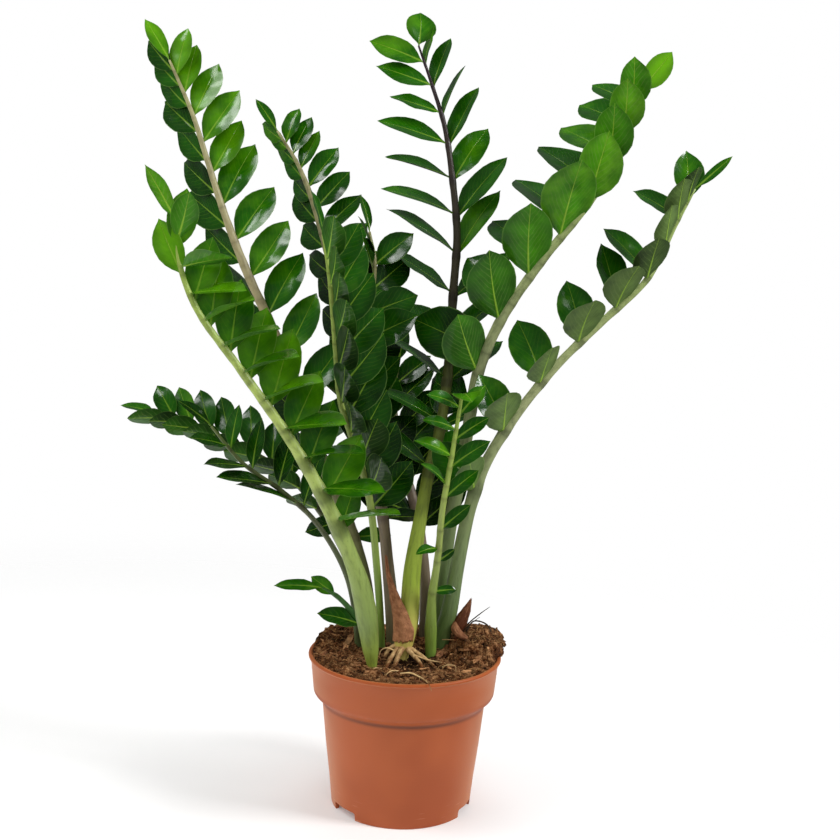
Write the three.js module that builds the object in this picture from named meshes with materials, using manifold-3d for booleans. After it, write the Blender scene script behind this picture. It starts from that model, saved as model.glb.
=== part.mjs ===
// Potted ZZ plant: a clump of arching, leafy stems growing from potting mix
// in a round plastic nursery pot.
//
// Units are millimetres, +Z is up. The origin is the centre of the pot's foot,
// on the surface that the pot stands on. -Y is the side that faces the viewer.
//
// Each leafy stem is one solid: a tapered shoot bent along its route, with its
// leaflets set on it by a rule and joined to it. The shoots stand in plain
// holes in the potting mix, and the mix fills the pot.

import * as THREE from 'three';
import { mergeVertices } from 'three/addons/utils/BufferGeometryUtils.js';
import Module from 'manifold-3d';

const wasm = await Module();
wasm.setup();

// ---------------------------------------------------------------- dimensions

const GAP = 0.35; // clearance between pieces that touch on the real plant

const POT = {
  height: 168,
  wall: 1.8,
  footRadius: 76.6,
  shoulderRadius: 88.9, // top of the tapered body, under the collar
  shoulderHeight: 116,
  collarRadius: 99.0, // bottom of the collar
  collarHeight: 126,
  collarTopRadius: 102.4,
  lipRadius: 105,
  lipHeight: 3.4,
  floor: 9, // underside of the raised channel in the pot's floor
  discRadius: 44, // flat centre of the floor, which stands on the surface
  notchWidth: 36,
  notchAngles: [-142, -22, 98], // round +Z from +X
  sides: 32,
};

const SOIL = {
  level: 163, // height of the mix at the wall
  crown: 6, // how much higher the heap is at its middle
  radius: 100.2,
  rings: [100.2, 84, 60, 32],
  // Mounds of the heap: [x, y, spread, rise].
  mounds: [[-90, 26, 36, 9], [-70, 66, 34, 8], [0, 60, 50, 5], [70, 26, 30, 12], [-60, -50, 26, 3]],
  // The lump that stands over the rim on the right.
  clump: { centre: [82, 5, 177], radii: [27, 33, 19] },
};

const LEAFLET = {
  sides: 4,
  // Along the blade: [place from root to tip, half width, half thickness],
  // the widths as shares of the leaflet's widest half.
  stations: [[0.08, 0.16, 0.9], [0.4, 0.92, 0.85], [0.76, 0.84, 0.8]],
  cup: 0.2, // how far the two halves of a blade fold up, as a slope
};

// How a leaflet gives way to what has grown before it: the extra [open, fold]
// in degrees that are tried in turn, and the sizes that they are tried at.
const GIVE_WAY = {
  clear: 2.7, // least distance between the middles of two blades
  bends: [
    [0, 0], [0, 12], [0, -12], [-12, 0], [12, 0], [0, 24],
    [0, -24], [-16, 14], [-16, -14], [24, 0], [0, 38], [0, -38],
  ],
  sizes: [1, 0.85, 0.7, 0.55],
  along: 12,
  across: [-1, -0.5, 0, 0.5, 1],
  shootSteps: 60,
};

const SHOOT_SIDES = 6;
const ROOT_SIDES = 4;

// ------------------------------------------------------------- leafy stems
//
// route: points along the shoot's middle, [x, y, z, radius], from its buried
// end to its tip. face: the way the upper side of the frond looks. Leaflets
// stand in two ranks, a and b, on either side of the shoot:
//   span     first and last place on the shoot, as shares of its length
//   pairs    how many of each rank; crowd > 1 sets them closer near the tip
//   size     leaflet length at the bottom, the middle and the top
//   width    widest part of a leaflet, as a share of its length
//   arch     how far the blade curves over from root to tip, in degrees
//   open     angle to the shoot at the bottom and the top of the frond
//   fold     how far the rank is raised from the frond's plane
//   turn     roll of the blade about its own midrib, upper face to the tip

const STEMS = [
  {
    name: 'stem_front_left',
    seed: 11,
    route: [
      [-33, -50, 104, 3.4], [-34, -51, 164, 4.4], [-36, -54, 188, 8.8], [-41, -60, 225, 11.6],
      [-48, -64, 258, 10.4], [-57, -67, 285, 8.6], [-74, -72, 325, 7.8], [-98, -78, 372, 6.4],
      [-128, -83, 421, 5], [-172, -89, 482, 3.9], [-214, -96, 540, 3], [-230, -101, 584, 2.4],
      [-233, -104, 624, 1.4],
    ],
    face: [1, -0.3, 0.5],
    leaflets: {
      span: [0.38, 0.985], pairs: 11, crowd: 1.2, stagger: 0.35, size: [78, 82, 54], width: 0.5, arch: 14,
      tip: { length: 60, width: 0.3, lean: [24, -90, 0] },
      a: { open: [52, 34], fold: 66, turn: 20 },
      b: { open: [98, 88], fold: 72, turn: 84 },
    },
    own: {
      a0: [-10, 0, 0, 0.7], b0: [-14, 0, -16, 1.2], a9: [-50, 0, 0, 0.95], b9: [-6, 0, -34, 1],
      b10: [-64, 0, -50, 0.95], a10: [-26, 0, 0, 1],
    },
  },
  {
    name: 'stem_front_right',
    seed: 19,
    route: [
      [38, 12, 104, 6.5], [38, 12, 168, 8.6], [41, 10, 188, 9.6], [46, 4, 210, 9.4], [53, -3, 262, 7.8],
      [59, -8, 304, 7.3], [65, -11, 336, 7], [79, -14, 382, 6], [112, -17, 440, 5], [152, -20, 493, 4.4],
      [195, -23, 538, 3.8], [238, -26, 583, 3], [264, -28, 641, 2.2], [280, -30, 675, 1.2],
    ],
    face: [-0.75, 0, 0.65],
    leaflets: {
      span: [0.39, 0.99], pairs: 9, crowd: 1.7, stagger: 0.1, size: [68, 70, 46], width: 0.62, arch: 10,
      tip: { length: 50, width: 0.2, lean: [22, -90, 0] },
      a: { open: [52, 50], fold: 30, turn: 14 },
      b: { open: [60, 84], fold: 76, turn: 18 },
    },
    own: {
      b4: [0, 0, 30, 0.95], b5: [6, 0, 46, 1], b6: [0, 0, 0, 0], b7: [4, 0, 34, 1.05], b8: [-50, 0, 0, 1],
    },
  },
  {
    name: 'stem_right_tall',
    seed: 18,
    route: [
      [38, 38, 104, 5.5], [38, 38, 168, 7.8], [39, 35, 225, 8], [41, 28, 262, 7.8], [45, 20, 308, 7.6],
      [52, 13, 354, 7.2], [60, 8, 415, 6.6], [68, 4, 475, 6], [90, -2, 534, 5.4],
      [128, -8, 595, 4.6], [182, -14, 669, 3.6], [204, -18, 720, 2.6], [219, -22, 770, 1.3],
    ],
    face: [-0.75, -0.15, 0.6],
    leaflets: {
      span: [0.44, 0.99], pairs: 9, crowd: 1.5, stagger: 0.4, size: [86, 90, 50], width: 0.62, arch: 8,
      tip: { length: 52, width: 0.5, lean: [22, -90, 0] },
      a: { open: [38, 34], fold: 62, turn: 14 },
      b: { open: [84, 70], fold: 42, turn: 22 },
    },
    own: {
      a0: [0, 0, 0, 0], a5: [-12, 0, 36, 0.92], a6: [-14, 0, 42, 0.92], a7: [-16, 0, 42, 0.92],
      a8: [-16, 0, 42, 0.92], b3: [6, 0, 26, 1.08], b4: [8, 0, 30, 1.12], b5: [8, 0, 30, 1.14],
      b6: [8, 0, 30, 1.16], b7: [8, 0, 30, 1.16], b8: [4, 0, 30, 1.1],
    },
  },
  {
    name: 'stem_centre_tall',
    seed: 16,
    route: [
      [-2, -18, 104, 5], [-2, -18, 170, 6], [-2, -18, 182, 10.5], [3, -16, 210, 11],
      [5, -12, 262, 9.6], [12, -4, 319, 7.2], [20, 6, 370, 6.4], [30, 16, 412, 5.8],
      [37, 28, 477, 5.4], [40, 40, 560, 4.6], [42, 48, 622, 4.1], [35, 56, 683, 3.5],
      [25, 64, 738, 2.7], [10, 70, 782, 1.9], [-6, 76, 824, 1.1],
    ],
    face: [0.3, -0.9, 0],
    leaflets: {
      span: [0.36, 0.995], pairs: 12, crowd: 1.3, stagger: 0.12, size: [82, 88, 58], width: 0.44, arch: 12,
      tip: { length: 40, width: 0.86, lean: [24, 0, 0] },
      a: { open: [40, 28], fold: 5, turn: 62 },
      b: { open: [62, 58], fold: 0, turn: 54 },
    },
    own: {
      a7: [0, 0, -32, 0.9], a9: [0, 0, 14, 0.9], a10: [0, 0, 8, 0.9], a11: [-4, 0, 14, 0.8],
      b8: [0, 0, -14, 1], b9: [0, 0, -22, 0.85], b10: [-4, 0, -40, 0.95], b11: [-8, 0, -48, 1.05],
    },
  },
  {
    name: 'stem_front_small',
    seed: 20,
    route: [
      [28, -12, 104, 5], [28, -12, 168, 6], [27, -16, 200, 6.8], [27, -27, 238, 4.6], [31, -44, 284, 3.6],
      [34, -60, 341, 3.2], [41, -68, 396, 2.6], [49, -76, 462, 1.6],
    ],
    face: [0.2, -0.8, 0.5],
    leaflets: {
      span: [0.39, 0.985], pairs: 7, crowd: 1.3, stagger: 0.4, size: [30, 50, 40], width: 0.4, arch: 34,
      tip: { length: 38, width: 0.75, lean: [70, 90, 80] },
      a: { open: [40, 26], fold: 25, turn: 18 },
      b: { open: [62, 58], fold: 25, turn: 50 },
    },
    own: {
      a0: [30, 0, 30, 0.9], b0: [0, 0, 0, 0], a1: [0, 0, 0, 0.62], b1: [4, 0, 24, 0.85], b2: [0, 0, 0, 0],
      b3: [-16, 0, 0, 0.8],
    },
  },
  {
    name: 'stem_back_left_tall',
    seed: 12,
    route: [
      [-38, 22, 104, 5], [-38, 22, 166, 8], [-48, 26, 240, 8.5], [-66, 30, 298, 7.5],
      [-98, 36, 372, 6.4], [-127, 42, 451, 5.8], [-156, 48, 514, 5.2], [-187, 54, 577, 4.6],
      [-214, 60, 642, 3.7], [-235, 66, 702, 2.9], [-250, 70, 744, 2.3], [-276, 75, 800, 1.3],
    ],
    face: [0.5, -0.8, 0.2],
    leaflets: {
      span: [0.25, 0.99], pairs: 14, crowd: 1.45, stagger: 0.4, size: [78, 82, 54], width: 0.48, arch: 10,
      tip: { length: 52, width: 0.36, lean: [-6, 0, 0] },
      a: { open: [54, 34], fold: 20, turn: 24 },
      b: { open: [46, 28], fold: -78, turn: 12 },
    },
    own: { a0: [52, 0, 20, 0.6], b0: [40, 50, 0, 0.6] },
  },
  {
    name: 'stem_centre_left',
    seed: 14,
    route: [
      [-26, 6, 104, 3.2], [-26, 6, 168, 4.2], [-33, -8, 262, 4], [-44, -28, 350, 3.8],
      [-60, -42, 405, 3.6], [-74, -52, 450, 3.4], [-79, -60, 500, 3.2], [-84, -68, 552, 2.8],
      [-88, -72, 584, 2.2], [-94, -75, 616, 1.2],
    ],
    face: [1, -0.25, 0.2],
    leaflets: {
      span: [0.44, 0.97], pairs: 9, crowd: 1.15, stagger: 0.5, size: [70, 74, 56], width: 0.54, arch: 12,
      tip: { length: 46, width: 0.5, lean: [0, 0, 0] },
      a: { open: [50, 36], fold: 60, turn: 16 },
      b: { open: [44, 36], fold: 40, turn: 10 },
    },
  },
  {
    name: 'stem_low_left',
    seed: 22,
    route: [
      [-51, 8, 104, 3.5], [-51, 8, 168, 4.2], [-66, 6, 250, 3.2], [-102, 2, 311, 2.8],
      [-138, 0, 343, 2.5], [-180, -4, 373, 2.1], [-213, -8, 412, 1.4],
    ],
    face: [0.4, -0.5, 0.9],
    leaflets: {
      span: [0.64, 0.985], pairs: 4, crowd: 1.1, stagger: 0.2, size: [78, 58, 44], width: 0.4, arch: 14,
      tip: { length: 44, width: 0.4, lean: [-10, 0, 0] },
      a: { open: [66, 36], fold: 35, turn: 50 },
      b: { open: [30, 46], fold: 10, turn: 20 },
    },
  },
  {
    name: 'stem_lowest_left',
    seed: 23,
    route: [
      [-37, -10, 104, 3], [-37, -10, 168, 3.8], [-43, -11, 194, 3.6], [-60, -6, 215, 3.2],
      [-76, 2, 228, 2.6], [-92, 8, 235, 1.4],
    ],
    face: [0, -0.5, 1],
    leaflets: {
      span: [0.5, 0.97], pairs: 2, crowd: 2.6, stagger: 0.2, size: [54, 54, 50], width: 0.46, arch: 14,
      tip: { length: 54, width: 0.32, lean: [-30, 0, 0] },
      a: { open: [28, 14], fold: 30, turn: 10 },
      b: { open: [34, 46], fold: -10, turn: 24 },
    },
    own: { a0: [0, 0, 0, 0], a1: [-20, 0, 0, 0.66], b1: [0, 0, 0, 0] },
  },
  {
    name: 'stem_low_left_back',
    seed: 21,
    route: [
      [-32, 42, 104, 3.5], [-32, 42, 168, 4.6], [-66, 58, 250, 4.2], [-100, 68, 306, 3.6],
      [-136, 76, 343, 3.2], [-190, 82, 376, 2.6], [-238, 87, 395, 2.1], [-292, 92, 410, 1.3],
    ],
    face: [0.4, -0.5, 0.9],
    leaflets: {
      span: [0.48, 0.985], pairs: 9, crowd: 1.2, stagger: 0.4, size: [58, 58, 48], width: 0.48, arch: 12,
      tip: { length: 44, width: 0.46, lean: [0, 0, 0] },
      a: { open: [60, 34], fold: 35, turn: 14 },
      b: { open: [52, 36], fold: 20, turn: 78 },
    },
  },
  {
    name: 'stem_centre_dark',
    seed: 15,
    route: [
      [-14, 18, 104, 5], [-14, 18, 168, 7], [-22, 16, 262, 6.5], [-31, 14, 328, 6],
      [-48, 12, 404, 5.4], [-60, 12, 442, 5], [-60, 14, 498, 4.4], [-48, 18, 560, 3.6],
      [-46, 21, 592, 2.6], [-52, 24, 622, 1.4],
    ],
    face: [0.8, -0.5, 0.1],
    leaflets: {
      span: [0.4, 0.97], pairs: 10, crowd: 1.15, stagger: 0.5, size: [66, 72, 50], width: 0.58, arch: 12,
      tip: { length: 42, width: 0.44, lean: [0, 0, 0] },
      a: { open: [56, 40], fold: 50, turn: 16 },
      b: { open: [50, 40], fold: 20, turn: 12 },
    },
    own: { a0: [40, 0, 60, 0.8], b0: [0, 40, 20, 0.55] },
  },
  {
    name: 'stem_back_left_short',
    seed: 13,
    route: [
      [-10, 42, 104, 4], [-10, 42, 168, 6], [-16, 50, 215, 6], [-30, 66, 302, 5.4],
      [-52, 88, 401, 4.8], [-76, 112, 501, 4.4], [-102, 132, 590, 3.8], [-128, 150, 668, 3],
      [-146, 158, 705, 2], [-168, 165, 737, 1.2],
    ],
    face: [0.35, -0.9, 0.1],
    leaflets: {
      span: [0.4, 0.985], pairs: 13, crowd: 1.5, stagger: 0.45, size: [68, 66, 46], width: 0.48, arch: 10,
      tip: { length: 48, width: 0.28, lean: [0, 0, 0] },
      a: { open: [60, 42], fold: 15, turn: 22 },
      b: { open: [46, 28], fold: -78, turn: 12 },
    },
  },
  {
    name: 'stem_back_centre',
    seed: 17,
    route: [
      [21, 46, 104, 4.5], [21, 46, 168, 6.4], [20, 52, 236, 6.4], [8, 63, 310, 5.8],
      [-8, 72, 360, 5], [-18, 80, 402, 4.2], [-22, 88, 444, 3], [-18, 94, 478, 1.8],
    ],
    face: [0, -1, 0.1],
    leaflets: {
      span: [0.5, 0.985], pairs: 7, crowd: 1.1, stagger: 0.5, size: [76, 74, 50], width: 0.52, arch: 12,
      tip: { length: 44, width: 0.4, lean: [0, 0, 0] },
      a: { open: [60, 40], fold: 20, turn: 20 },
      b: { open: [60, 40], fold: 20, turn: 20 },
    },
  },
];

// Bare roots under the middle stem: routes as above.
const ROOTS = [
  [[-4, -20, 182, 4], [-12, -32, 176, 2.4], [-18, -43, 169, 2.1], [-21, -50, 158, 1.4]],
  [[-2, -22, 182, 4], [-6, -35, 177, 2.6], [-10, -44, 169, 2.2], [-13, -50, 158, 1.4]],
  [[0, -20, 182, 4], [8, -33, 177, 2.2], [16, -42, 171, 1.9], [23, -50, 158, 1.3]],
  [[0, -18, 181, 4], [13, -27, 177, 2], [24, -36, 172, 1.7], [38, -38, 160, 1.2]],
  [[-2, -18, 182, 4], [-14, -20, 180, 2.2], [-20, -22, 173, 1.9], [-23, -26, 158, 1.3]],
];

// Papery husks round the feet of the shoots: a trough of thin wall round the
// route, between two angles round +Z from +X, at its foot and at its tip.
const HUSKS = [
  {
    name: 'husk_centre',
    route: [[-2, -17.6, 186, 11.4], [-1, -17.6, 202, 11.9], [-6, -20, 222, 9.2], [-14, -25, 246, 5.2],
      [-20, -27, 266, 2.6], [-23, -28, 284, 1.2]],
    from: [-225, -200],
    to: [-30, -70],
  },
  {
    name: 'husk_right',
    route: [[55, 4, 170, 4], [56, 5, 188, 7], [59, 7, 202, 8], [64, 9, 214, 6], [70, 10, 229, 1]],
    from: [-120, -90],
    to: [50, 30],
  },
];

const HUSK = { wall: 1, rows: 6, steps: 5 };

// ------------------------------------------------------------------ helpers

const radians = THREE.MathUtils.degToRad;
const lerp = THREE.MathUtils.lerp;

/** A seeded stream of even draws from -1 to 1, the same on every run. */
function draws(seed) {
  let state = seed >>> 0;
  return () => {
    state = (Math.imul(state, 1664525) + 1013904223) >>> 0;
    return (state / 0x100000000) * 2 - 1;
  };
}

/** A closed three.js geometry as a solid that can be joined and cut. */
function solid(geometry) {
  const bare = geometry.index ? geometry.toNonIndexed() : geometry.clone();
  bare.deleteAttribute('normal');
  bare.deleteAttribute('uv');
  const merged = mergeVertices(bare, 1e-4);
  const corners = merged.index.array;
  const kept = [];
  for (let i = 0; i < corners.length; i += 3) {
    const [a, b, c] = corners.slice(i, i + 3);
    if (a !== b && b !== c && c !== a) kept.push(a, b, c);
  }
  return new wasm.Manifold(new wasm.Mesh({
    numProp: 3,
    vertProperties: Float32Array.from(merged.attributes.position.array),
    triVerts: Uint32Array.from(kept),
  }));
}

/** A solid back as a three.js mesh with a name and a colour. */
function piece(name, body, material) {
  const { vertProperties, triVerts } = body.getMesh();
  const geometry = new THREE.BufferGeometry();
  geometry.setAttribute('position', new THREE.BufferAttribute(vertProperties, 3));
  geometry.setIndex(new THREE.BufferAttribute(triVerts, 1));
  geometry.computeVertexNormals();
  const mesh = new THREE.Mesh(geometry, material);
  mesh.name = name;
  return mesh;
}

/** Revolves [radius, height] points round Z. */
function revolve(profile, sides) {
  const points = profile.map(([radius, height]) => new THREE.Vector2(radius, height));
  return new THREE.LatheGeometry(points, sides).rotateX(Math.PI / 2);
}

/** Moves every vertex of a geometry through a function of its position. */
function reshape(geometry, move) {
  const places = geometry.attributes.position;
  const point = new THREE.Vector3();
  for (let i = 0; i < places.count; i += 1) {
    move(point.fromBufferAttribute(places, i));
    places.setXYZ(i, point.x, point.y, point.z);
  }
  return geometry;
}

// ------------------------------------------------------------- leafy stems

/** The smooth line along the middle of a shoot, and its radius anywhere. */
class Shoot {
  constructor(route, sides = SHOOT_SIDES) {
    const points = route.map(([x, y, z]) => new THREE.Vector3(x, y, z));
    this.curve = new THREE.CatmullRomCurve3(points, false, 'centripetal');
    this.curve.arcLengthDivisions = 400;
    this.radii = route.map((point) => point[3]);
    this.sides = sides;
  }

  /** Middle, direction and radius at a share of the shoot's length. */
  at(share) {
    const u = this.curve.getUtoTmapping(share);
    const step = u * (this.radii.length - 1);
    const i = Math.min(Math.floor(step), this.radii.length - 2);
    return {
      point: this.curve.getPoint(u),
      along: this.curve.getTangent(u),
      radius: lerp(this.radii[i], this.radii[i + 1], step - i),
    };
  }

  /** A tapered, round-ended body along the shoot, fatter by a margin. */
  body(margin = 0, rings = 12) {
    const shares = Array.from({ length: rings + 1 }, (_, i) => i / rings);
    const spindle = revolve([[0, -1], ...shares.map((_, i) => [1, i]), [0, rings + 1]], this.sides);
    const frames = shares.map((share) => this.at(share));
    // Carry one sideways direction up the shoot without twist.
    let side = new THREE.Vector3(1, 0, 0);
    for (const frame of frames) {
      side = side.clone().addScaledVector(frame.along, -side.dot(frame.along)).normalize();
      frame.side = side;
      frame.cross = new THREE.Vector3().crossVectors(frame.along, side);
    }
    return solid(reshape(spindle, (p) => {
      const ring = Math.round(p.z);
      const frame = frames[THREE.MathUtils.clamp(ring, 0, rings)];
      const radius = frame.radius + margin;
      const { x, y } = p;
      p.copy(frame.point).addScaledVector(frame.side, x * radius).addScaledVector(frame.cross, y * radius);
      if (ring < 0) p.addScaledVector(frame.along, -radius * 0.6);
      if (ring > rings) p.addScaledVector(frame.along, radius * 0.8);
    }));
  }
}

/** One blade: a flat spindle, widened to its outline, cupped and arched. */
function blade(length, halfWidth, arch) {
  const { stations, sides } = LEAFLET;
  const outline = [[0, 0], ...stations.map(([place]) => [1, place]), [0, 1]];
  return reshape(revolve(outline, sides), (p) => {
    const station = stations.find(([place]) => Math.abs(place - p.z) < 1e-6);
    const [wide, thick] = station ? [station[1] * halfWidth, station[2]] : [0, 0];
    p.copy(onBlade(length, arch, p.z, -p.x * wide, p.y * thick));
  });
}

/** A place on an arched, cupped blade: [across, reach, raise] from its root. */
function onBlade(length, arch, share, across, lift = 0) {
  const turned = radians(arch) * share;
  const raise = lift + Math.abs(across) * LEAFLET.cup;
  const reach = (length * Math.sin(turned)) / radians(arch) + raise * Math.sin(turned);
  const drop = (length * (Math.cos(turned) - 1)) / radians(arch) + raise * Math.cos(turned);
  return new THREE.Vector3(across, reach, drop);
}

/** Half the width of a blade at a share of its length. */
function halfWidthAt(halfWidth, share) {
  const outline = [[0, 0], ...LEAFLET.stations, [1, 0]];
  const i = outline.findIndex(([place], k) => k > 0 && share <= place);
  const [[from, low], [to, high]] = [outline[i - 1], outline[i]];
  return halfWidth * lerp(low, high, (share - from) / (to - from));
}

/** One leaflet on a shoot, from its rank, its angles and its size. */
class Leaflet {
  constructor({ point, along }, upper, rank, angles, { length, width, arch }) {
    const [open, fold, turn] = angles.map(radians);
    const up = upper.clone().addScaledVector(along, -upper.dot(along)).normalize();
    const out = new THREE.Vector3().crossVectors(along, up).multiplyScalar(rank === 'b' ? -1 : 1);
    const mix = (u, a, v, b) => u.clone().multiplyScalar(a).addScaledVector(v, b);
    const sideways = mix(out, Math.cos(fold), up, Math.sin(fold));
    const flat = mix(up, Math.cos(fold), out, -Math.sin(fold));
    const toTip = mix(along, Math.sin(open), sideways, -Math.cos(open));
    this.root = point;
    this.reach = mix(along, Math.cos(open), sideways, Math.sin(open));
    this.normal = mix(flat, Math.cos(turn), toTip, Math.sin(turn));
    this.across = new THREE.Vector3().crossVectors(this.reach, this.normal);
    this.place = new THREE.Matrix4().makeBasis(this.across, this.reach, this.normal).setPosition(point);
    this.length = length;
    this.halfWidth = (length * width) / 2;
    this.arch = arch;
  }

  /** Points spread over the blade, past the part that is in its own shoot. */
  get spread() {
    const { along, across } = GIVE_WAY;
    const shares = Array.from({ length: along }, (_, i) => (i + 1.5) / (along + 0.5));
    this.points ??= shares.flatMap((share) => {
      const wide = halfWidthAt(this.halfWidth, share);
      const row = across.map((side) => onBlade(this.length, this.arch, share, side * wide));
      return row.map((point) => point.applyMatrix4(this.place));
    });
    return this.points;
  }

  /** Whether a point lies on this blade or too close to it. */
  touches(point) {
    const { clear } = GIVE_WAY;
    const from = point.clone().sub(this.root);
    const far = from.dot(this.reach);
    if (far < -clear || far > this.length + clear) return false;
    const across = from.dot(this.across);
    const share = THREE.MathUtils.clamp(far / this.length, 0, 1);
    if (Math.abs(across) > halfWidthAt(this.halfWidth, share) + clear) return false;
    const surface = onBlade(this.length, this.arch, share, across).z;
    return Math.abs(from.dot(this.normal) - surface) < clear;
  }

  /** Whether this blade would cross another one. */
  crosses(other) {
    if (this.root.distanceTo(other.root) > this.length + other.length) return false;
    return this.spread.some((point) => other.touches(point))
      || other.spread.some((point) => this.touches(point));
  }

  /** Whether this blade would cross a shoot, given as points with radii. */
  meets(shoot) {
    return shoot.some(({ point, radius }) => (
      this.root.distanceTo(point) < this.length + radius + GIVE_WAY.clear
      && this.spread.some((spot) => spot.distanceTo(point) < radius + GIVE_WAY.clear)));
  }

  body() {
    return solid(blade(this.length, this.halfWidth, this.arch).applyMatrix4(this.place));
  }
}

/** Where the leaflets of a stem stand by its rule, with their angles and sizes. */
function leafletSpecs({ leaflets: rule, seed, own = {} }) {
  const draw = draws(seed);
  const [low, middle, high] = rule.size;
  const specs = [];
  for (let i = 0; i < rule.pairs; i += 1) {
    for (const rank of ['a', 'b']) {
      const { open, fold, turn } = rule[rank];
      const [moreOpen, moreFold, moreTurn, scale] = own[rank + i] ?? [0, 0, 0, 1];
      const step = (i + (rank === 'b' ? rule.stagger : 0)) / rule.pairs;
      const share = lerp(rule.span[0], rule.span[1], 1 - (1 - step) ** rule.crowd);
      const angles = [
        lerp(open[0], open[1], step ** 2) + moreOpen + 5 * draw(),
        fold + moreFold + 5 * draw(),
        turn + moreTurn + 6 * draw(),
      ];
      const grown = step < 0.5 ? lerp(low, middle, step * 2) : lerp(middle, high, step * 2 - 1);
      const length = grown * scale * (1 + 0.06 * draw());
      const arch = rule.arch * (1 + 0.4 * draw());
      if (scale > 0) specs.push({ share, rank, angles, length, width: rule.width, arch });
    }
  }
  const { length, width, lean } = rule.tip;
  specs.push({ share: 1, rank: 'a', angles: lean, length, width, arch: rule.arch });
  return specs;
}

/** The leaflets of every stem, each bent clear of the other stems and theirs. */
function growLeaflets(stems) {
  const lines = stems.map(({ route }) => {
    const shoot = new Shoot(route);
    return Array.from({ length: GIVE_WAY.shootSteps + 1 }, (_, i) => shoot.at(i / GIVE_WAY.shootSteps));
  });
  const grown = stems.map(() => []);
  stems.forEach((stem, index) => {
    const shoot = new Shoot(stem.route);
    const upper = new THREE.Vector3(...stem.face);
    const isFree = (leaflet) => (
      lines.every((line, other) => other === index || !leaflet.meets(line))
      && grown.every((rivals, other) => other === index || !rivals.some((rival) => leaflet.crosses(rival))));
    for (const { share, rank, angles, length, width, arch } of leafletSpecs(stem)) {
      const choices = GIVE_WAY.sizes.flatMap((size) => GIVE_WAY.bends.map(([open, fold]) => (
        () => new Leaflet(shoot.at(share), upper, rank, [angles[0] + open, angles[1] + fold, angles[2]],
          { length: length * size, width, arch }))));
      const choice = choices.find((make) => isFree(make()));
      if (choice) grown[index].push(choice());
    }
  });
  return grown;
}

// ---------------------------------------------------------------------- pot

/** The pot: a thin-walled plastic tub with a collar, a lip and a notched foot. */
function pot() {
  const { wall, height, floor } = POT;
  const profile = [
    [0, 0], [POT.discRadius, 0], [POT.discRadius + 3, floor],
    [POT.footRadius - 5, floor], [POT.footRadius - 4, 0], [POT.footRadius, 0],
    [POT.shoulderRadius, POT.shoulderHeight],
    [POT.shoulderRadius + 1.6, POT.shoulderHeight + 3.4], [POT.collarRadius - 2.2, POT.collarHeight - 1.4],
    [POT.collarRadius, POT.collarHeight + 1.6], [POT.collarTopRadius, height - POT.lipHeight - 0.8],
    [POT.lipRadius, height - POT.lipHeight], [POT.lipRadius, height],
    [POT.collarTopRadius - wall + 0.2, height],
    [POT.collarRadius - wall, POT.collarHeight + 2.2],
    [POT.shoulderRadius - wall + 0.6, POT.shoulderHeight + 4.6],
    [POT.shoulderRadius - wall, POT.shoulderHeight], [POT.footRadius - wall + 1, floor + wall],
    [POT.discRadius + 4, floor + wall], [POT.discRadius, wall], [0, wall],
  ];
  let body = solid(revolve(profile, POT.sides));
  const notch = solid(new THREE.BoxGeometry(20, POT.notchWidth, floor * 2).translate(POT.footRadius, 0, 0));
  for (const angle of POT.notchAngles) body = body.subtract(notch.rotate([0, 0, angle]));
  return body;
}

// ------------------------------------------------------- potting mix, husks

/** Height of the heaped mix over a place in the pot. */
function mixHeight(x, y) {
  const out = Math.min(Math.hypot(x, y) / SOIL.radius, 1);
  const heap = SOIL.crown * (1 - out ** 2);
  const mounds = SOIL.mounds.reduce((sum, [mx, my, spread, rise]) => (
    sum + rise * Math.exp(-((x - mx) ** 2 + (y - my) ** 2) / spread ** 2)), 0);
  const crumbs = 1.2 * Math.sin(x * 0.21 + 1) * Math.sin(y * 0.17) + 0.8 * Math.sin(x * 0.43 + y * 0.37);
  return SOIL.level + heap + mounds + crumbs;
}

/** The potting mix: it fills the pot and is heaped on top, with plain holes. */
function pottingMix(holes) {
  const { wall, floor, sides } = POT;
  const inside = (radius) => radius - wall - GAP;
  const top = SOIL.rings.map((radius) => [radius, SOIL.level]);
  const profile = [
    [0, wall + GAP], [POT.discRadius - 1, wall + GAP], [POT.discRadius + 3.6, floor + wall + GAP],
    [inside(POT.footRadius), floor + wall + GAP + 0.4],
    [inside(POT.shoulderRadius), POT.shoulderHeight],
    [inside(POT.shoulderRadius), POT.shoulderHeight + 5.5],
    [inside(POT.collarRadius), POT.collarHeight + 3.4],
    ...top, [0, SOIL.level],
  ];
  const fill = solid(reshape(revolve(profile, sides), (p) => {
    if (p.z === SOIL.level) p.z = mixHeight(p.x, p.y);
  }));
  const [cx, cy, cz] = SOIL.clump.centre;
  const [rx, ry, rz] = SOIL.clump.radii;
  const clump = solid(reshape(new THREE.IcosahedronGeometry(1, 2), (p) => {
    const lump = 1 + 0.1 * Math.sin(5 * p.x + 3 * p.y) * Math.cos(4 * p.z + 2 * p.y);
    p.set(cx + p.x * rx * lump, cy + p.y * ry * lump, cz + p.z * rz * lump);
  }));
  const under = POT.height + GAP;
  const rim = solid(revolve([
    [SOIL.radius - 2, floor], [POT.lipRadius + 20, floor], [POT.lipRadius + 20, under],
    [SOIL.radius - 2, under], [SOIL.radius - 2, floor],
  ], sides));
  return holes.reduce((mix, hole) => mix.subtract(hole), fill.add(clump.subtract(rim)));
}

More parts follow.
